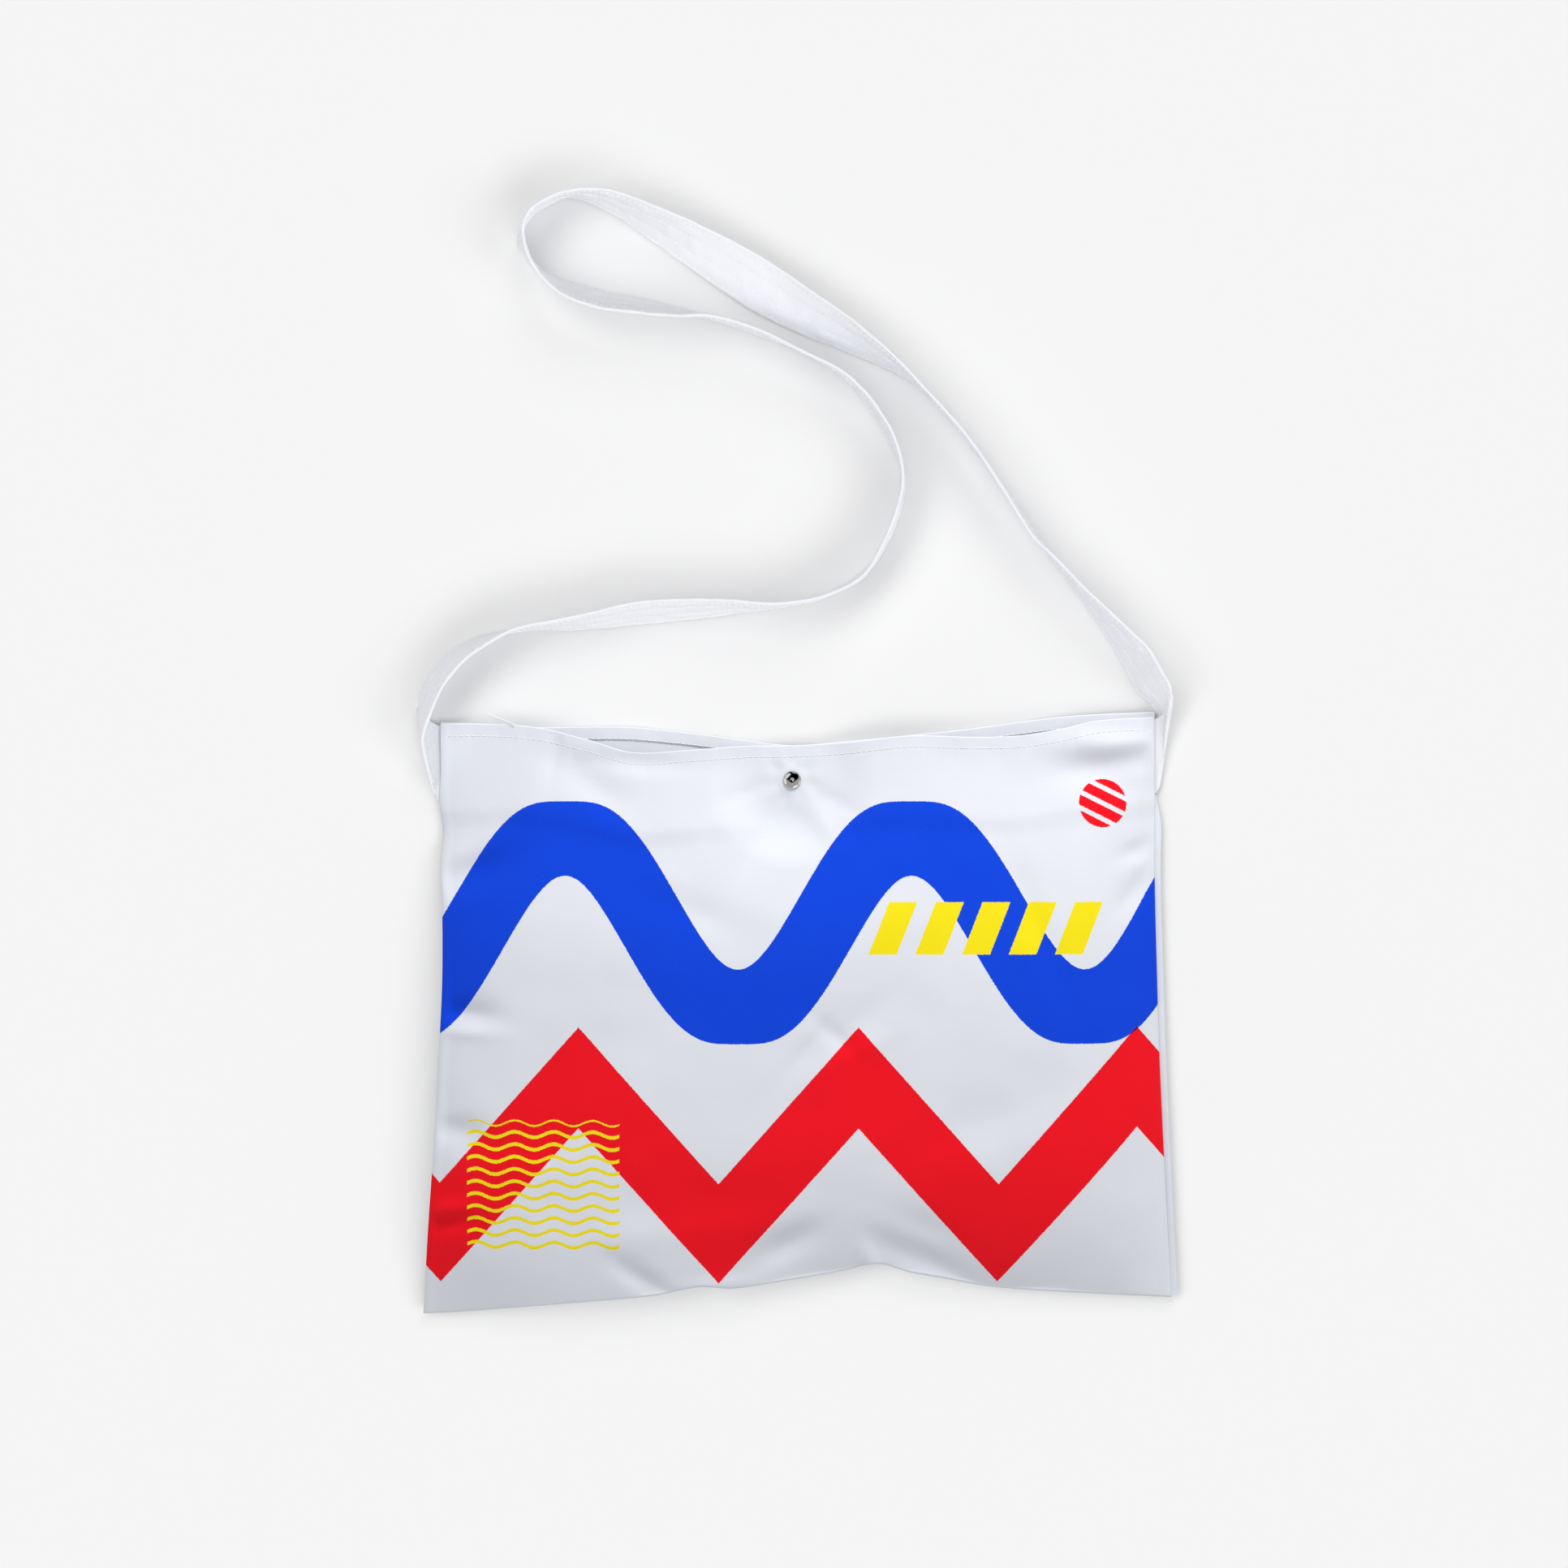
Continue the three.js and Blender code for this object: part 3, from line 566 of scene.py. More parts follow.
def back_height(across, up, x, y):
    """Height of the back panel's underside above the floor."""
    from_fold = 1 - np.minimum(up / BOTTOM_RISE, 1)
    bottom = BOTTOM_LIFT * follow(BOTTOM, "across", "lift", across) * from_fold**2
    from_left = 1 - np.minimum(across / SIDE_REACH, 1)
    from_right = 1 - np.minimum((1 - across) / SIDE_REACH, 1)
    left = SIDE_LIFT * follow(SIDES, "up", "liftLeft", up) * from_left**2
    right = SIDE_LIFT * follow(SIDES, "up", "liftRight", up) * from_right**2
    corner = CORNER_LIFT * smooth((up - CORNER_FROM_UP) / (1 - CORNER_FROM_UP))
    corner = corner * smooth((across - CORNER_FROM_ACROSS) / (1 - CORNER_FROM_ACROSS))
    pad = BACK_AT_SNAP * snap_hold(x, y, 2 * SNAP_FLAT)
    return np.maximum(bottom + left + right + corner, pad)


def seam_space(up):
    """Space between the panels at the side seams, wider where a strap end is sewn in."""
    gusset = smooth((up - GUSSET_TIP + GUSSET_EARLY) / GUSSET_BLEND)
    return CLEARANCE + (STRAP_END_THICKNESS + CLEARANCE) * gusset


def folds_height(table, x, y, scale_x, scale_y, scale_depth):
    """Sum of the soft folds of one table."""
    height = np.zeros(np.broadcast(x, y).shape)
    for k in range(len(table["x"])):
        turn = math.radians(table["turn"][k])
        dx = x - table["x"][k] * scale_x
        dy = y - table["y"][k] * scale_y
        along = (dx * math.cos(turn) + dy * math.sin(turn)) / (table["long"][k] * scale_x)
        aside = (dy * math.cos(turn) - dx * math.sin(turn)) / (table["wide"][k] * scale_x)
        height = height + table["depth"][k] * scale_depth * hump(along) * hump(aside)
    return height


def pocket_gap(across, up, x, y):
    """Clear distance between the two panels: the pocket of the bag."""
    side_rise = 1 - np.abs(2 * across - 1) ** SIDE_ROUNDNESS
    bottom_rise = 1 - (1 - np.minimum(up / PUFF_FULL_UP, 1)) ** PUFF_ROUNDNESS
    towards_mouth = smooth((up - MOUTH_FROM_UP) / (1 - MOUTH_FROM_UP))
    opening = MOUTH_GAP * follow(MOUTH, "across", "open", across)
    body = POCKET_PUFF * bottom_rise * side_rise
    folds = folds_height(FOLDS, x, y, BAG_WIDTH, BAG_HEIGHT, POCKET_PUFF)
    puffed = body + (opening - body) * towards_mouth + folds * bottom_rise * side_rise
    free = seam_space(up) + np.maximum(puffed, 0)
    return free + (GAP_AT_SNAP - free) * snap_hold(x, y, SNAP_PULL)


def hem_extra(across, gap, up):
    """Extra cloth of the hem on the inner side, thinning out at the side seams."""
    from_seam = smooth((np.minimum(across, 1 - across) - HEM_START) / HEM_START)
    return np.minimum(HEM_EXTRA * from_seam, np.maximum(gap - seam_space(up), 0) / HEM_SHARE)


def shares_with_edges(count, length, zone=0.0, zone_count=1):
    """Even shares from 0 to 1, closer together at both edges and in a zone before the far one."""
    near = np.array(EDGE_STEPS) * CLOTH / length
    fine = 1 - np.linspace(0, zone, zone_count + 1) / length
    return np.unique(np.concatenate([np.linspace(0, 1, count + 1), near, 1 - near, fine]))


def round_over(distance, radius):
    """Share of the full thickness at this distance from a rounded edge."""
    left = 1 - np.clip(distance / radius, 0, 1)
    return np.maximum(np.sqrt(1 - left * left), EDGE_LEAST)


def mesh_object(name, points, faces, material):
    mesh = bpy.data.meshes.new(name)
    mesh.from_pydata((points * MM).tolist(), [], faces)
    mesh.shade_smooth()
    mesh.materials.append(material)
    piece = bpy.data.objects.new(name, mesh)
    bpy.context.scene.collection.objects.link(piece)
    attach(piece, "root")
    return piece


def closed_sheet(name, upper, lower, material):
    """A closed cloth body between an upper and a lower grid of points."""
    rows, across = upper.shape[:2]
    count = rows * across
    index = np.arange(count).reshape(rows, across)
    a, b, c, d = index[:-1, :-1], index[:-1, 1:], index[1:, 1:], index[1:, :-1]
    top = np.stack([a, b, c, d], -1).reshape(-1, 4)
    bottom = np.stack([a, d, c, b], -1).reshape(-1, 4) + count
    rim = np.concatenate([index[0, :-1], index[:-1, -1], index[-1, :0:-1], index[:0:-1, 0]])
    ahead = np.roll(rim, -1)
    walls = np.stack([ahead, rim, rim + count, ahead + count], -1)
    points = np.concatenate([upper.reshape(-1, 3), lower.reshape(-1, 3)])
    faces = np.concatenate([top, bottom, walls])
    return mesh_object(name, points, faces.tolist(), material)


def hem_ripples(seed, pitch, x, from_mouth):
    """Gathers across a hem, from -1 to 1, strongest along its stitch row."""
    near_row = hump((from_mouth - HEM_STITCH) / RIPPLE_REACH)
    return noise(seed, pitch, x, from_mouth * RIPPLE_STRETCH) * near_row


def hem_groove(from_mouth):
    return -HEM_GROOVE * hump((from_mouth - HEM_STITCH) / GROOVE_WIDTH)


def in_hem(from_mouth):
    """1 in the turned-in hem and 0 below it."""
    return smooth((HEM_DEPTH - from_mouth) / HEM_EDGE + 0.5)


def panel_place(across, up, side, face):
    """Plan point of a panel and its distances from the side seams and from the mouth."""
    x, y = plan_point(across, up, side, face)
    foot = plan_point(across, 0 * up, side, face)[1]
    head = plan_point(across, 0 * up + 1, side, face)[1]
    from_seam = np.minimum(across, 1 - across) * BAG_WIDTH * SEAM_SPAN
    return x, y, from_seam, (1 - up) * (head - foot)


def thinned(lower, upper, from_seam, from_mouth):
    """Both faces of a cloth wall, drawn together at its rounded edges."""
    full = round_over(from_seam, CLOTH / 2) * round_over(from_mouth, CLOTH / 2)
    middle, half = (upper + lower) / 2, (upper - lower) / 2 * full
    return middle - half, middle + half


def front_relief(x, y, from_seam, from_mouth):
    """Small undulations, creases and puckers of the front panel, in millimetres."""
    broad = BROAD_WAVES * noise(SEED_BROAD, BROAD_PITCH, x, y)
    broad = broad + FINE_WAVES * noise(SEED_FINE, FINE_PITCH, x, y)
    creases = folds_height(CREASES, x, y, 1, 1, 1)
    from_snap = np.hypot(x - SNAP_X, y - SNAP_Y)
    turn = np.arctan2(y - SNAP_Y, x - SNAP_X)
    around_snap = hump((from_snap - PUCKER_RADIUS) / PUCKER_REACH)
    pucker = SNAP_PUCKER * np.sin(SNAP_PUCKERS * turn) * around_snap
    pull = np.interp(x, HEM_PULL["x"], HEM_PULL["depth"])
    ripples = pull * hem_ripples(SEED_FRONT_HEM, FRONT_RIPPLE_PITCH, x, from_mouth)
    roll = SEAM_ROLL * hump((from_seam - ROLL_AT) / ROLL_WIDTH)
    roll = roll - SEAM_DIP * hump((from_seam - DIP_AT) / DIP_WIDTH)
    calm = smooth((from_snap - CAP_RADIUS) / PUCKER_REACH) * smooth(from_seam / FRONT_SEAM_CALM)
    return (broad + creases + pucker) * calm + ripples + hem_groove(from_mouth) + roll


def front_heights(across, up):
    """Plan point, underside and top of the front panel at these shares."""
    x, y, from_seam, from_mouth = panel_place(across, up, "seam", "front")
    gap = pocket_gap(across, up, x, y)
    inside = back_height(across, up, x, y) + CLOTH + gap
    relief = front_relief(x, y, from_seam, from_mouth)
    # A dent stops short of the back panel.
    room = DENT_SHARE * gap
    relief = np.where(relief < 0, -room * np.tanh(-relief / room), relief)
    lower = inside + relief - hem_extra(across, gap, up) * in_hem(from_mouth)
    return x, y, *thinned(lower, inside + relief + CLOTH, from_seam, from_mouth)


def front_panel(material):
    across = shares_with_edges(PANEL_COLUMNS, BAG_WIDTH)
    up = shares_with_edges(PANEL_ROWS, BAG_HEIGHT, HEM_ZONE, HEM_ROWS)[:, None]
    x, y, lower, upper = front_heights(across, up)
    # The cloth goes on round the bottom fold and meets the back panel's edge.
    turn = np.linspace(-math.pi / 2, math.pi / 2, FOLD_STEPS)[:-1, None]
    floor_side = back_height(across, 0, x[0], y[0])
    radius = (upper[0] - floor_side) / 2
    wrap_x = np.broadcast_to(x[0], (len(turn), len(across)))
    wrap_z = floor_side + radius + radius * np.sin(turn)
    inner_z = floor_side + radius + (radius - CLOTH) * np.sin(turn)
    wrap_y = y[0] - FOLD_BULGE * np.cos(turn)
    inner_y = y[0] - (FOLD_BULGE - CLOTH) * np.cos(turn)
    outer = np.stack([wrap_x, wrap_y, wrap_z], -1)
    inner = np.stack([wrap_x, inner_y, inner_z], -1)
    outer = np.concatenate([outer, np.stack([x, y, upper], -1)])
    inner = np.concatenate([inner, np.stack([x, y, lower], -1)])
    return closed_sheet("front_cloth", outer, inner, material)


def back_heights(across, up):
    """Plan point, underside and top of the back panel at these shares."""
    x, y, from_seam, from_mouth = panel_place(across, up, "right", "back")
    gap = pocket_gap(across, up, x, y)
    under = back_height(across, up, x, y)
    ripples = BACK_RIPPLE * hem_ripples(SEED_BACK_HEM, BACK_RIPPLE_PITCH, x, from_mouth)
    relief = (ripples + hem_groove(from_mouth)) * smooth(from_seam / BACK_SEAM_CALM)
    upper = under + CLOTH + hem_extra(across, gap, up) * in_hem(from_mouth) + relief
    return x, y, *thinned(under, upper, from_seam, from_mouth)


def back_panel(material):
    across = shares_with_edges(BACK_COLUMNS, BAG_WIDTH)
    up = shares_with_edges(BACK_ROWS, BAG_HEIGHT, HEM_ZONE, HEM_ROWS)[:, None]
    x, y, lower, upper = back_heights(across, up)
    top = np.stack([x, y, upper], -1)
    underside = np.stack([x, y, lower], -1)
    return closed_sheet("back_cloth", top, underside, material)


def catmull_rom(points, places):
    """Points of the centripetal curve through the given ones, at places counted in segments."""
    ends = np.vstack([2 * points[0] - points[1], points, 2 * points[-1] - points[-2]])
    i = np.minimum(places.astype(int), len(points) - 2)
    s = (places - i)[:, None]
    p0, p1, p2, p3 = (ends[i + k] for k in range(4))
    d0, d1, d2 = (
        np.sqrt(np.linalg.norm(b - a, axis=1))[:, None] for a, b in ((p0, p1), (p1, p2), (p2, p3))
    )
    start = ((p1 - p0) / d0 - (p2 - p0) / (d0 + d1) + (p2 - p1) / d1) * d1
    end = ((p2 - p1) / d1 - (p3 - p1) / (d1 + d2) + (p3 - p2) / d2) * d1
    square = 3 * (p2 - p1) - 2 * start - end
    cube = 2 * (p1 - p2) + start + end
    return p1 + s * (start + s * (square + s * cube))


def unit(vectors):
    return vectors / np.linalg.norm(vectors, axis=-1, keepdims=True)


def strap_run():
    """Edges of the strap between the gussets: the low and the high end of each line across it."""
    flat_x = STRAP_RUN["x"] * BAG_WIDTH
    flat_y = MOUTH_LINE + STRAP_RUN["y"] * STRAP_REACH
    centre = np.stack([flat_x, flat_y, 0 * flat_x], -1)
    places = np.arange(len(centre), dtype=float)
    ahead = catmull_rom(centre, np.minimum(places + TANGENT_STEP, places[-1]))
    behind = catmull_rom(centre, np.maximum(places - TANGENT_STEP, 0))
    along = unit(ahead - behind)
    tilt = np.radians(STRAP_RUN["tilt"])[:, None]
    aside = np.stack([-along[:, 1], along[:, 0], 0 * flat_x], -1)
    half = (aside * np.cos(tilt) + np.array([0, 0, 1]) * np.sin(tilt)) * STRAP_WIDTH / 2
    face = STRAP_THICKNESS / 2 * np.abs(np.cos(tilt[:, 0]))
    centre[:, 2] = STRAP_RUN["lift"] * STRAP_WIDTH + half[:, 2] + face
    full = np.full(len(centre), STRAP_THICKNESS, float)
    return centre - half, centre + half, full, full


def gusset_lines(table, outwards, across, side, high_up, low_up):
    """Lines across one gusset, from inside the seam outwards."""

    def seam_point(up):
        share = GUSSET_TIP + up * GUSSET_DEPTH / BAG_HEIGHT
        x, y = plan_point(np.array(across, float), np.array(share), side, "front")
        z = back_height(np.array(across, float), share, x, y)
        return np.array([x, y, z + CLOTH + CLEARANCE + STRAP_END_THICKNESS / 2], float)

    tip, top = seam_point(0), seam_point(1)

    def place(out, up, z):
        seam_z = tip[2] + (top[2] - tip[2]) * np.minimum(up, 1)
        x = tip[0] + outwards * out * STRAP_WIDTH
        height = np.maximum(seam_z + z * STRAP_WIDTH, STRAP_THICKNESS / 2)
        return np.stack([x, tip[1] + up * GUSSET_DEPTH, height], -1)

    shifts = [np.array([outwards * out, 0, 0]) for out in (-GUSSET_INSERT, GUSSET_FREE)]
    low = np.vstack([seam_point(low_up) + shift for shift in shifts])
    high = np.vstack([seam_point(high_up) + shift for shift in shifts])
    low = np.vstack([low, place(table["lowOut"], table["lowUp"], table["lowZ"])])
    high = np.vstack([high, place(table["highOut"], table["highUp"], table["highZ"])])
    ends = [STRAP_END_THICKNESS] * 2
    low_thick = np.concatenate([ends, table["lowThick"] * STRAP_THICKNESS])
    high_thick = np.concatenate([ends, table["highThick"] * STRAP_THICKNESS])
    return low, high, low_thick, high_thick


def ribbon():
    """The strap's two edges and its thickness at even steps of its length."""
    left = gusset_lines(LEFT_GUSSET, -1, 0, "left", 0, GUSSET_TOP)
    right = gusset_lines(RIGHT_GUSSET, 1, 1, "seam", GUSSET_TOP, 0)
    lines = [np.concatenate([a, b, c[::-1]]) for a, b, c in zip(left, strap_run(), right)]
    low, high, low_thick, high_thick = lines
    places = np.linspace(0, len(low) - 1, MEASURE_STEPS * len(low))
    middle = (catmull_rom(low, places) + catmull_rom(high, places)) / 2
    steps = np.linalg.norm(np.diff(middle, axis=0), axis=1)
    length = np.concatenate([[0], np.cumsum(steps)])
    even = np.linspace(0, length[-1], STRAP_STEPS + 1)
    at = np.interp(even, length, places)
    edges = {"length": even, "low": catmull_rom(low, at), "high": catmull_rom(high, at)}
    edges["low_ahead"] = np.gradient(edges["low"], axis=0)
    edges["high_ahead"] = np.gradient(edges["high"], axis=0)
    edges["low_thick"] = np.interp(at, np.arange(len(low)), low_thick)[:, None]
    edges["high_thick"] = np.interp(at, np.arange(len(low)), high_thick)[:, None]
    return edges


def strap_relief(along, aside, seed):
    """Ripples of one face of the strap between its stitch rows, in millimetres."""
    bounds = (0, *STRAP_ROWS, 1)
    height = 0 * along * aside
    for k, (start, end) in enumerate(zip(bounds, bounds[1:])):
        inside = (aside >= start) & (aside <= end)
        crown = np.sin(math.pi * np.clip((aside - start) / (end - start), 0, 1)) * inside
        uneven = noise(seed + k, RIPPLE_PITCH, along, aside * RIPPLE_SPREAD)
        swell = RIPPLE_SWELL + RIPPLE_WAVE * uneven
        height = height + crown * swell * min(1, (end - start) / WIDE_CHANNEL)
    for row in STRAP_ROWS:
        height = height - STRAP_GROOVE * hump((aside - row) * STRAP_WIDTH / GROOVE_WIDTH)
    return height


def strap_point(edges, along, aside, face, lift=0.0):
    """Points on the strap's outer face, where face is 1, or on its inner face, where it is -1."""

    def at(key):
        track = edges[key]
        found = [np.interp(along, edges["length"], track[:, k]) for k in range(track.shape[1])]
        return np.stack(found, -1)

    share = np.asarray(aside)[..., None]
    low, high = at("low"), at("high")
    ahead = at("low_ahead") * (1 - share) + at("high_ahead") * share
    normal = unit(np.cross(high - low, ahead))
    thick = (at("low_thick") * (1 - share) + at("high_thick") * share)[..., 0]
    from_edge = np.minimum(aside, 1 - aside) * STRAP_WIDTH
    half = thick * STRAP_SLIM / 2 * round_over(from_edge, STRAP_THICKNESS * EDGE_ROUNDING)
    ends = smooth((np.minimum(along, edges["length"][-1] - along) - GUSSET_INSERT) / STRAP_CALM)
    seed = SEED_OUTER if face > 0 else SEED_INNER
    relief = strap_relief(along, aside, seed) * ends * smooth(from_edge / EDGE_CALM)
    sway = STRAP_SWAY * noise(SEED_SWAY, SWAY_PITCH, along, aside * SWAY_SPREAD)
    sway = sway + STRAP_CURL * noise(SEED_CURL, CURL_PITCH, along, aside * CURL_SPREAD)
    offset = (half + relief + lift) * face + sway * ends
    uneven = noise(SEED_EDGE, EDGE_PITCH, along, np.round(aside) * CURL_SPREAD)
    fray = EDGE_WAVE * uneven * np.abs(2 * aside - 1) * ends
    point = low * (1 - share) + high * share + normal * offset[..., None]
    point = point + unit(high - low) * (fray * np.sign(aside - 0.5))[..., None]
    point[..., 2] = np.maximum(point[..., 2], 0)
    return point, normal * face


def strap_asides():
    """Where the strap is meshed across its width: at the rounded edges and around each row."""
    near = np.array(STRAP_EDGE_STEPS) * STRAP_THICKNESS / 2 / STRAP_WIDTH
    grooves = [row + step / STRAP_WIDTH for row in STRAP_ROWS for step in GROOVE_STEPS]
    even = np.linspace(0, 1, STRAP_COLUMNS + 1)
    found = np.unique(np.round(np.concatenate([near, 1 - near, grooves, even]), COLUMN_DECIMALS))
    keep = np.concatenate([[True], np.diff(found) > LEAST_COLUMN])
    return found[keep]


def strap_mesh(edges, material):
    asides = strap_asides()
    along = edges["length"][:, None]
    outer = strap_point(edges, along, asides, 1)[0]
    inner = strap_point(edges, along, asides, -1)[0]
    piece = closed_sheet("strap_cloth", outer, inner, material)
    count = len(along) * len(asides)
    for name, values in (("along", along + 0 * asides), ("aside", asides * STRAP_WIDTH + 0 * along)):
        numbers = piece.data.attributes.new(name, "FLOAT", "POINT")
        numbers.data.foreach_set("value", np.tile(values.reshape(-1), 2) * MM)
    return piece


def stitches(name, starts, ends, normals, material):
    """Short rounded threads, each from one point to another, with their ends sunk in the cloth."""
    shares = np.array(THREAD_PROFILE)
    along = unit(ends - starts)
    side = unit(np.cross(normals, along))
    centre = starts[:, None] + (ends - starts)[:, None] * shares[:, 0][:, None]
    centre = centre + normals[:, None] * (shares[:, 2] * THREAD_RADIUS)[:, None]
    angles = np.linspace(0, 2 * math.pi, THREAD_SIDES, endpoint=False)
    sideways = np.cos(angles)[:, None] * side[:, None, None]
    upwards = np.sin(angles)[:, None] * normals[:, None, None]
    ring = sideways + upwards
    points = centre[:, :, None] + ring * (shares[:, 1] * THREAD_RADIUS)[:, None, None]
    rings = len(shares)
    one = np.arange(rings * THREAD_SIDES).reshape(rings, THREAD_SIDES)
    around = np.roll(one, -1, axis=1)
    quads = np.stack([one[:-1], around[:-1], around[1:], one[1:]], -1).reshape(-1, 4)
    caps = [one[0][::-1], one[-1]]
    first = np.arange(len(starts))[:, None, None] * one.size
    faces = (quads + first).reshape(-1, 4).tolist()
    for cap in caps:
        faces += (cap + first[:, 0]).tolist()
    return mesh_object(name, points.reshape(-1, 3), faces, material)


class Look:
    """A material or the sky, built node by node."""

    def __init__(self, name, world=None):
        self.material = world or bpy.data.materials.new(name)
        self.material.use_nodes = True
        self.tree = self.material.node_tree
        self.shader = self.tree.nodes["Background" if world else "Principled BSDF"]

    def feed(self, socket, value):
        if isinstance(value, bpy.types.NodeSocket):
            self.tree.links.new(value, socket)
        else:
            socket.default_value = value

    def maths(self, operation, *values, clamp=False):
        node = self.tree.nodes.new("ShaderNodeMath")
        node.operation = operation
        node.use_clamp = clamp
        for socket, value in zip(node.inputs, values):
            self.feed(socket, value)
        return node.outputs[0]

    def times(self, *values, clamp=False):
        return self.maths("MULTIPLY", *values, clamp=clamp)

    def surface(self, name, value):
        """Sets or feeds one input of the surface itself."""
        self.feed(self.shader.inputs[name], value)

    def place(self):
        """The point's x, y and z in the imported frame, in millimetres."""
        at = self.tree.nodes.new("ShaderNodeTexCoord").outputs["Object"]
        split = self.tree.nodes.new("ShaderNodeSeparateXYZ")
        self.feed(split.inputs[0], at)
        return [self.times(split.outputs[k], 1 / MM) for k in range(3)]

    def number(self, name):
        """A number kept on the mesh's points, in millimetres."""
        node = self.tree.nodes.new("ShaderNodeAttribute")
        node.attribute_name = name
        return self.times(node.outputs["Fac"], 1 / MM)

    def join(self, x, y, z=0.0):
        node = self.tree.nodes.new("ShaderNodeCombineXYZ")
        for socket, value in zip(node.inputs, (x, y, z)):
            self.feed(socket, value)
        return node.outputs[0]

    def cloud(self, pitch, *place):
        """Noise around 0.5 with blobs about as large as pitch."""
        node = self.tree.nodes.new("ShaderNodeTexNoise")
        self.feed(node.inputs["Vector"], self.join(*place))
        node.inputs["Scale"].default_value = 1 / pitch
        return node.outputs["Fac"]

    def blend(self, share, first, second):
        node = self.tree.nodes.new("ShaderNodeMix")
        node.data_type = "RGBA"
        colours = [socket for socket in node.inputs if socket.type == "RGBA"]
        self.feed(node.inputs[0], share)
        self.feed(colours[0], first)
        self.feed(colours[1], second)
        return next(socket for socket in node.outputs if socket.type == "RGBA")

    def bump(self, height, distance):
        node = self.tree.nodes.new("ShaderNodeBump")
        node.inputs["Distance"].default_value = distance * MM
        self.feed(node.inputs["Height"], height)
        self.surface("Normal", node.outputs[0])


def twill(look, u, v):
    """Height of a twill weave, from 0 to 1: leaning ribs, each made of short floats."""
    rib = look.maths("MULTIPLY_ADD", v, TWILL_LEAN, u)
    rib = look.maths("SINE", look.times(rib, 2 * math.pi / TWILL_PITCH))
    thread = look.maths("SINE", look.times(v, 2 * math.pi / THREAD_PITCH))
    uneven = look.cloud(SLUB_PITCH, u, v)
    height = look.maths("MULTIPLY_ADD", rib, RIB_SHARE, 0.5)
    height = look.maths("MULTIPLY_ADD", thread, FLOAT_SHARE, height)
    slubs = look.maths("MULTIPLY_ADD", uneven, SLUB_SHARE, -SLUB_SHARE / 2)
    return look.maths("ADD", height, slubs)


def dye_and_painted_weave_shade(look, u, v, height, tint):
    """The bare cloth's colour with painted shade, darker where the weave dips between the threads, and
    soft patches and a little wear.
    """
    # Painted shade: the colour darkens toward the dark tint where the weave is low.
    between = look.maths("SUBTRACT", 1.0, height, clamp=True)
    colour = look.blend(look.times(between, WEAVE_PAINTED_SHADE), tint, PAINTED_SHADE_AND_GRAIN_TINT)
    patches = look.times(look.cloud(PATCH_PITCH, u, v), PATCH_SHARE)
    return look.blend(patches, colour, WORN_TINT)


def cloth_finish(look, colour, height):
    look.surface("Base Color", colour)
    look.surface("Roughness", CLOTH_ROUGHNESS)
    look.surface("Specular IOR Level", CLOTH_SPECULAR)
    look.surface("Sheen Weight", CLOTH_SHEEN)
    look.surface("Sheen Roughness", SHEEN_ROUGHNESS)
    look.bump(height, WEAVE_DEPTH)
    return look.material


def step(look, distance):
    """1 inside a printed form and 0 outside it, with an edge about as sharp as the weave."""
    return look.maths("MULTIPLY_ADD", distance, 1 / INK_EDGE, 0.5, clamp=True)


def both(look, *masks):
    found = masks[0]
    for mask in masks[1:]:
        found = look.times(found, mask)
    return found


def either(look, *masks):
    found = masks[0]
    for mask in masks[1:]:
        found = look.maths("MAXIMUM", found, mask)
    return found


def from_line(look, value, start):
    return step(look, look.maths("SUBTRACT", value, start))


def before_line(look, value, end):
    return step(look, look.maths("SUBTRACT", end, value))


def nearest(look, x, first, pitch):
    """Distance along x from the nearest form of a row of them."""
    off = look.maths("WRAP", look.maths("SUBTRACT", x, first), pitch / 2, -pitch / 2)
    return look.maths("ABSOLUTE", off)


def reach(look, dx, dy):
    """Distance from a point, from its two parts."""
    return look.maths("SQRT", look.maths("MULTIPLY_ADD", dx, dx, look.times(dy, dy)))


def wave(look, x, y):
    """One broad wavy band from side to side."""
    turn = look.times(look.maths("SUBTRACT", x, WAVE_START), 2 * math.pi / WAVE_PITCH)
    line = look.maths("MULTIPLY_ADD", look.maths("SINE", turn), WAVE_SWING, WAVE_MIDDLE)
    steepest = 2 * math.pi / WAVE_PITCH * WAVE_SWING
    slope = look.times(look.maths("COSINE", turn), steepest)
    stretch = look.maths("SQRT", look.maths("MULTIPLY_ADD", slope, slope, 1.0))
    off = look.maths("DIVIDE", look.maths("ABSOLUTE", look.maths("SUBTRACT", y, line)), stretch)
    return before_line(look, off, WAVE_STROKE / 2)


def zigzag(look, x, y):
    """One broad zigzag band from side to side."""
    off = nearest(look, x, ZIGZAG_START, ZIGZAG_PITCH)
    steepness = 4 * ZIGZAG_SWING / ZIGZAG_PITCH
    line = look.maths("MULTIPLY_ADD", off, -steepness, ZIGZAG_MIDDLE + ZIGZAG_SWING)
    away = look.maths("ABSOLUTE", look.maths("SUBTRACT", y, line))
    away = look.times(away, 1 / math.hypot(1, steepness))
    return before_line(look, away, ZIGZAG_STROKE / 2)


def bars(look, x, y):
    """A row of leaning bars."""
    leaned = look.maths("MULTIPLY_ADD", y, -BAR_LEAN, x)
    off = nearest(look, leaned, BAR_FIRST, BAR_PITCH)
    return both(
        look,
        before_line(look, off, BAR_WIDTH / 2),
        from_line(look, y, BAR_BOTTOM),
        before_line(look, y, BAR_TOP),
        from_line(look, leaned, BAR_FIRST - BAR_PITCH / 2),
        before_line(look, leaned, BAR_FIRST + (BAR_COUNT - 0.5) * BAR_PITCH),
    )


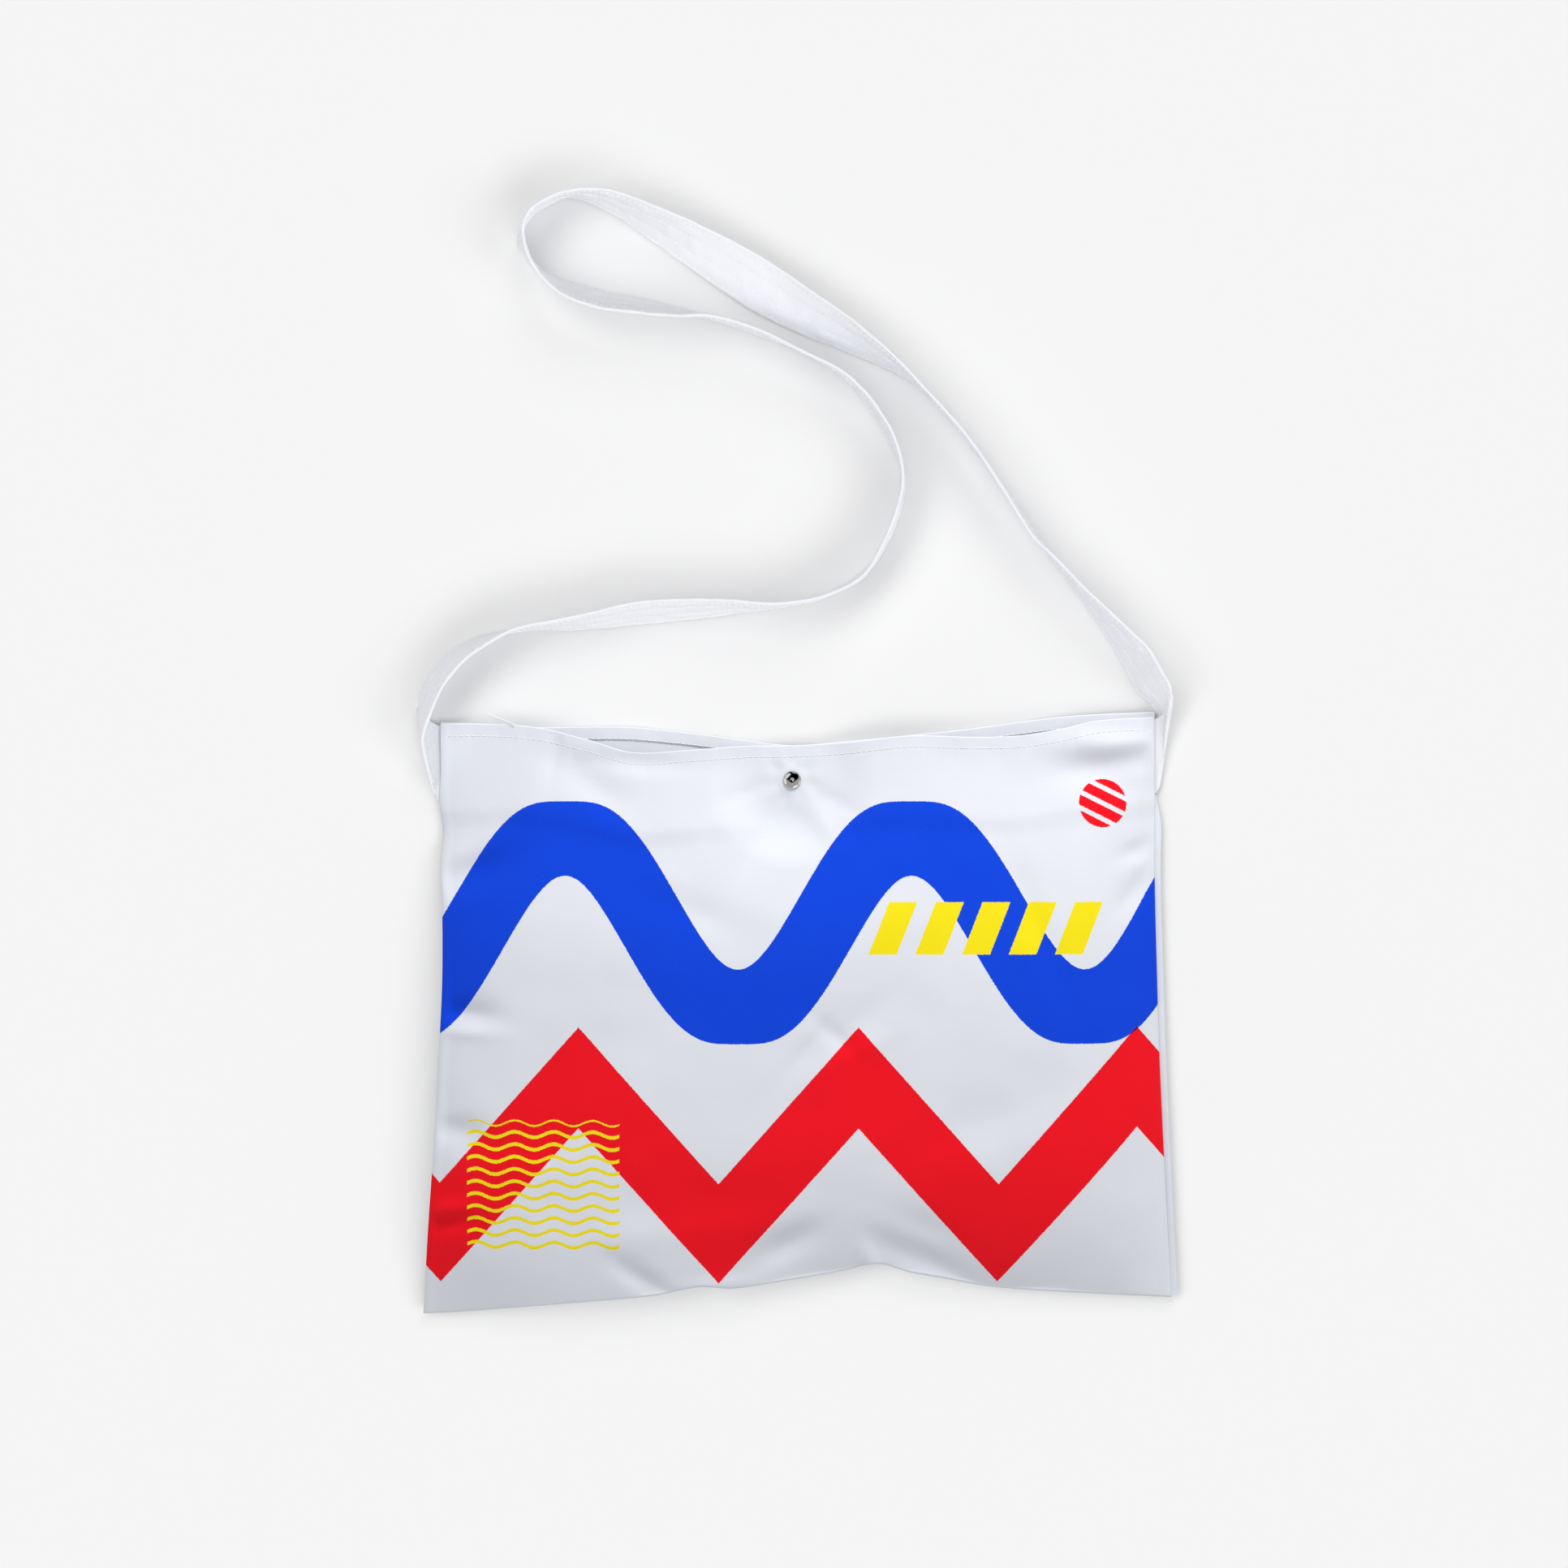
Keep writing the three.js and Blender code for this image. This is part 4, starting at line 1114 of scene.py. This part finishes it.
def fine_lines(look, x, y):
    """A block of thin wavy lines."""
    turn = look.times(x, 2 * math.pi / LINES_WAVE)
    waved = look.maths("MULTIPLY_ADD", look.maths("SINE", turn), LINES_SWING, y)
    off = nearest(look, waved, LINES_BOTTOM, LINES_PITCH)
    return both(
        look,
        before_line(look, off, LINES_STROKE / 2),
        from_line(look, waved, LINES_BOTTOM - LINES_PITCH / 2),
        before_line(look, waved, LINES_TOP),
        from_line(look, x, LINES_LEFT),
        before_line(look, x, LINES_RIGHT),
    )


def disc(look, x, y):
    """A small disc with three pale bars across it."""
    dx, dy = look.maths("SUBTRACT", x, DISC_X), look.maths("SUBTRACT", y, DISC_Y)
    bar = nearest(look, look.maths("MULTIPLY_ADD", dx, DISC_LEAN, dy), 0, DISC_PITCH)
    return both(
        look,
        before_line(look, reach(look, dx, dy), DISC_RADIUS),
        from_line(look, bar, DISC_STROKE / 2),
    )


def printed(look, x, y, colour):
    """The cloth's colour with a plain print of waves, zigzags, bars and lines over it."""
    jitter = look.cloud(INK_GRAIN, x, y)
    px = look.maths("MULTIPLY_ADD", jitter, INK_JITTER, x)
    other = look.cloud(INK_GRAIN, y, x)
    py = look.maths("MULTIPLY_ADD", other, INK_JITTER, y)
    blue = wave(look, px, py)
    red = either(look, zigzag(look, px, py), disc(look, px, py))
    yellow = either(look, bars(look, px, py), fine_lines(look, px, py))
    inked = look.blend(blue, colour, BLUE_INK)
    inked = look.blend(red, inked, RED_INK)
    inked = look.blend(both(look, blue, red), inked, PURPLE_INK)
    inked = look.blend(yellow, inked, YELLOW_INK)
    worn = look.times(jitter, INK_WEAR)
    return look.blend(worn, inked, colour)


def bag_cloth(name, with_print):
    look = Look(name)
    x, y, _ = look.place()
    height = twill(look, x, y)
    colour = dye_and_painted_weave_shade(look, x, y, height, CLOTH_TINT)
    if with_print:
        colour = printed(look, x, y, colour)
    return cloth_finish(look, colour, height)


def strap_cloth(name):
    look = Look(name)
    along, aside = look.number("along"), look.number("aside")
    height = twill(look, along, aside)
    colour = dye_and_painted_weave_shade(look, along, aside, height, STRAP_TINT)
    return cloth_finish(look, colour, height)


def thread_finish(name, tint):
    look = Look(name)
    x, y, z = look.place()
    grain = look.cloud(THREAD_GRAIN, x, y, z)
    shade = look.times(grain, THREAD_SHADE)
    look.surface("Base Color", look.blend(shade, tint, PAINTED_SHADE_AND_GRAIN_TINT))
    look.surface("Roughness", CLOTH_ROUGHNESS)
    look.bump(grain, THREAD_DEPTH)
    return look.material


def steel_finish(name):
    look = Look(name)
    x, y, z = look.place()
    smudge = look.cloud(SMUDGE_PITCH, x, y, z)
    look.surface("Base Color", look.blend(smudge, STEEL_TINT, STEEL_WORN))
    look.surface("Metallic", 1.0)
    rough = look.maths("MULTIPLY_ADD", smudge, SMUDGE_ROUGHNESS, STEEL_ROUGHNESS)
    look.surface("Roughness", rough)
    look.bump(look.cloud(SCRATCH_PITCH, x, y, z), SCRATCH_DEPTH)
    return look.material


def evenly(length, margin):
    """Starts of stitches along a row of this length."""
    return np.arange(margin, length - margin - STITCH_LENGTH, STITCH_PITCH)


def hem_stitches(name, heights, material):
    span = BAG_WIDTH * SEAM_SPAN
    starts = evenly(span, HEM_MARGIN)
    up = 1 - HEM_STITCH / (BAG_HEIGHT * HEM_HEIGHT_SHARE)

    def row(at):
        x, y, _, top = heights(at / span, up + 0 * at)
        return np.stack([x, y, top], -1)

    upwards = np.tile([0.0, 0.0, 1.0], (len(starts), 1))
    return stitches(name, row(starts), row(starts + STITCH_LENGTH), upwards, material)


def strap_stitches(name, edges, face, material):
    found = []
    for row in STRAP_ROWS:
        at = evenly(edges["length"][-1], STRAP_MARGIN)
        aside = np.full(len(at), row)
        start, normal = strap_point(edges, at, aside, face)
        end = strap_point(edges, at + STITCH_LENGTH, aside, face)[0]
        found.append((start, end, normal))
    starts, ends, normals = (np.concatenate(part) for part in zip(*found))
    return stitches(name, starts, ends, normals, material)


def turned(name, profile, sides, material):
    """A turned piece on the snap's axis from its radius and height pairs, bottom to top."""
    angles = np.linspace(0, 2 * math.pi, sides, endpoint=False)
    radii, heights = np.array(profile, float).T
    ring_x = SNAP_X + radii[:, None] * np.cos(angles)
    ring_y = SNAP_Y + radii[:, None] * np.sin(angles)
    points = np.stack([ring_x, ring_y, heights[:, None] + 0 * angles], -1).reshape(-1, 3)
    one = np.arange(len(points)).reshape(len(profile), sides)
    around = np.roll(one, -1, axis=1)
    faces = np.stack([one[:-1], around[:-1], around[1:], one[1:]], -1).reshape(-1, 4).tolist()
    faces += [one[0][::-1].tolist(), one[-1].tolist()]
    return mesh_object(name, points, faces, material)


def cap_profile():
    """The snap's domed cap, with the small dimple in its middle."""
    bottom = FRONT_AT_SNAP + CLOTH + CLEARANCE
    rim = bottom + CAP_RIM
    shares = np.linspace(1, CAP_CENTRE, CAP_RINGS)
    dome = rim + (CAP_HEIGHT - CAP_RIM) * np.sqrt(1 - shares**CAP_ROUNDNESS)
    dome = dome - DIMPLE_DEPTH * hump(shares * CAP_RADIUS / DIMPLE_RADIUS)
    rings = [(radius, bottom + height) for radius, height in CAP_UNDERSIDE]
    return rings + list(zip(shares * CAP_RADIUS, dome))


def strand(name, points, radius, material):
    """A thin loose thread through the given points."""
    curve = bpy.data.curves.new(name, "CURVE")
    curve.dimensions = "3D"
    curve.bevel_depth = radius * MM
    curve.bevel_resolution = 2
    curve.use_fill_caps = True
    line = curve.splines.new("NURBS")
    line.points.add(len(points) - 1)
    weighted = np.column_stack([np.array(points) * MM, np.ones(len(points))])
    line.points.foreach_set("co", weighted.reshape(-1))
    line.use_endpoint_u = True
    line.order_u = 3
    curve.materials.append(material)
    piece = bpy.data.objects.new(name, curve)
    bpy.context.scene.collection.objects.link(piece)
    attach(piece, "root")
    return piece


# The bag's own pieces
plain_cloth = bag_cloth("back_cloth_twill", False)
printed_cloth = bag_cloth("front_cloth_print", True)
strap_twill = strap_cloth("strap_twill")
thread = thread_finish("sewing_thread", THREAD_TINT)
steel = steel_finish("plated_steel")

front = front_panel(printed_cloth)
back = back_panel(plain_cloth)
edges = ribbon()
strap = strap_mesh(edges, strap_twill)
cap = turned("snap_cap_dome", cap_profile(), CAP_SIDES, steel)
front_row = hem_stitches("front_hem_stitches", front_heights, thread)
back_row = hem_stitches("back_hem_stitches", back_heights, thread)
outer_rows = strap_stitches("strap_stitches_outer", edges, 1, thread)
inner_rows = strap_stitches("strap_stitches_inner", edges, -1, thread)
loose = strand("loose_thread", LOOSE_THREAD, LOOSE_RADIUS, thread)

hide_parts("front_panel")
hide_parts("back_panel")
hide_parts("strap")
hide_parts("snap_cap")
for node in ("snap_base", "snap_stud", "snap_socket"):
    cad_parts[node].material_slots[0].material = steel

# A plain pale floor, a soft sky and soft studio lights from all sides
bpy.ops.mesh.primitive_plane_add(size=FLOOR_SIZE, location=(0, 0, 0))
floor = bpy.context.object
floor.name = "floor"
pale = Look("pale_floor")
pale.surface("Base Color", FLOOR_TINT)
pale.surface("Roughness", 1.0)
pale.surface("Specular IOR Level", 0.0)
floor.data.materials.append(pale.material)

scene = bpy.context.scene
scene.world = bpy.data.worlds.new("soft_sky")
sky = Look("sky", scene.world)
direction = sky.tree.nodes.new("ShaderNodeTexCoord").outputs["Generated"]
split = sky.tree.nodes.new("ShaderNodeSeparateXYZ")
sky.feed(split.inputs[0], direction)
towards = sky.times(split.outputs[2], math.cos(CEILING_LEAN))
towards = sky.maths("MULTIPLY_ADD", split.outputs[1], math.sin(CEILING_LEAN), towards)
past = sky.maths("SUBTRACT", CEILING_FROM, towards)
bright = sky.times(past, 1 / CEILING_EDGE, clamp=True)
sky.surface("Color", SKY_TINT)
sky.surface("Strength", sky.times(bright, SKY_STRENGTH))


def group(name, pieces):
    """A group of pieces that share their lights."""
    found = bpy.data.collections.new(name)
    for piece in pieces:
        found.objects.link(piece)
    return found


lit_floor = group("lit_floor", [floor])
lit_strap = group("lit_strap", [strap, outer_rows, inner_rows])
lit_bag = group("lit_bag", [front, back, cap, front_row, back_row, loose])
LIT = (("floor", lit_floor, PLAIN_LIGHT), ("strap", lit_strap, PLAIN_LIGHT), ("bag", lit_bag, FILL_LIGHT))


def lamp(name, kind, strength, tint, towards, lit):
    """A light that shines one way, on one group of pieces."""
    light = bpy.data.objects.new(name, bpy.data.lights.new(name, kind))
    light.data.energy = strength
    light.data.color = tint
    light.rotation_mode = "QUATERNION"
    light.rotation_quaternion = Vector(towards).to_track_quat("-Z", "Y")
    light.light_linking.receiver_collection = lit
    scene.collection.objects.link(light)
    return light


for k, compass in enumerate(LIGHTS["compass"]):
    turn, rise = math.radians(compass), math.radians(LIGHTS["rise"][k])
    flat = math.cos(rise)
    towards = (-math.sin(turn) * flat, -math.cos(turn) * flat, -math.sin(rise))
    for column, lit, tint in LIT:
        soft = lamp(f"{column}_light_{k}", "SUN", LIGHTS[column][k], tint, towards, lit)
        soft.data.angle = math.radians(LIGHT_SPREAD)

key_towards = Vector(KEY_AIM) - Vector(KEY_PLACE)
key = lamp("key_light", "AREA", KEY_STRENGTH, PLAIN_LIGHT, key_towards, lit_bag)
key.location = KEY_PLACE
key.visible_glossy = False
key.data.shape = "DISK"
key.data.size = KEY_SIZE

camera = bpy.data.objects.new("camera", bpy.data.cameras.new("camera"))
camera.location = (CAMERA_X, CAMERA_Y, CAMERA_HEIGHT)
camera.data.sensor_width = CAMERA_SENSOR
camera.data.lens = CAMERA_LENS
scene.collection.objects.link(camera)
scene.camera = camera
scene.view_settings.view_transform = "Standard"
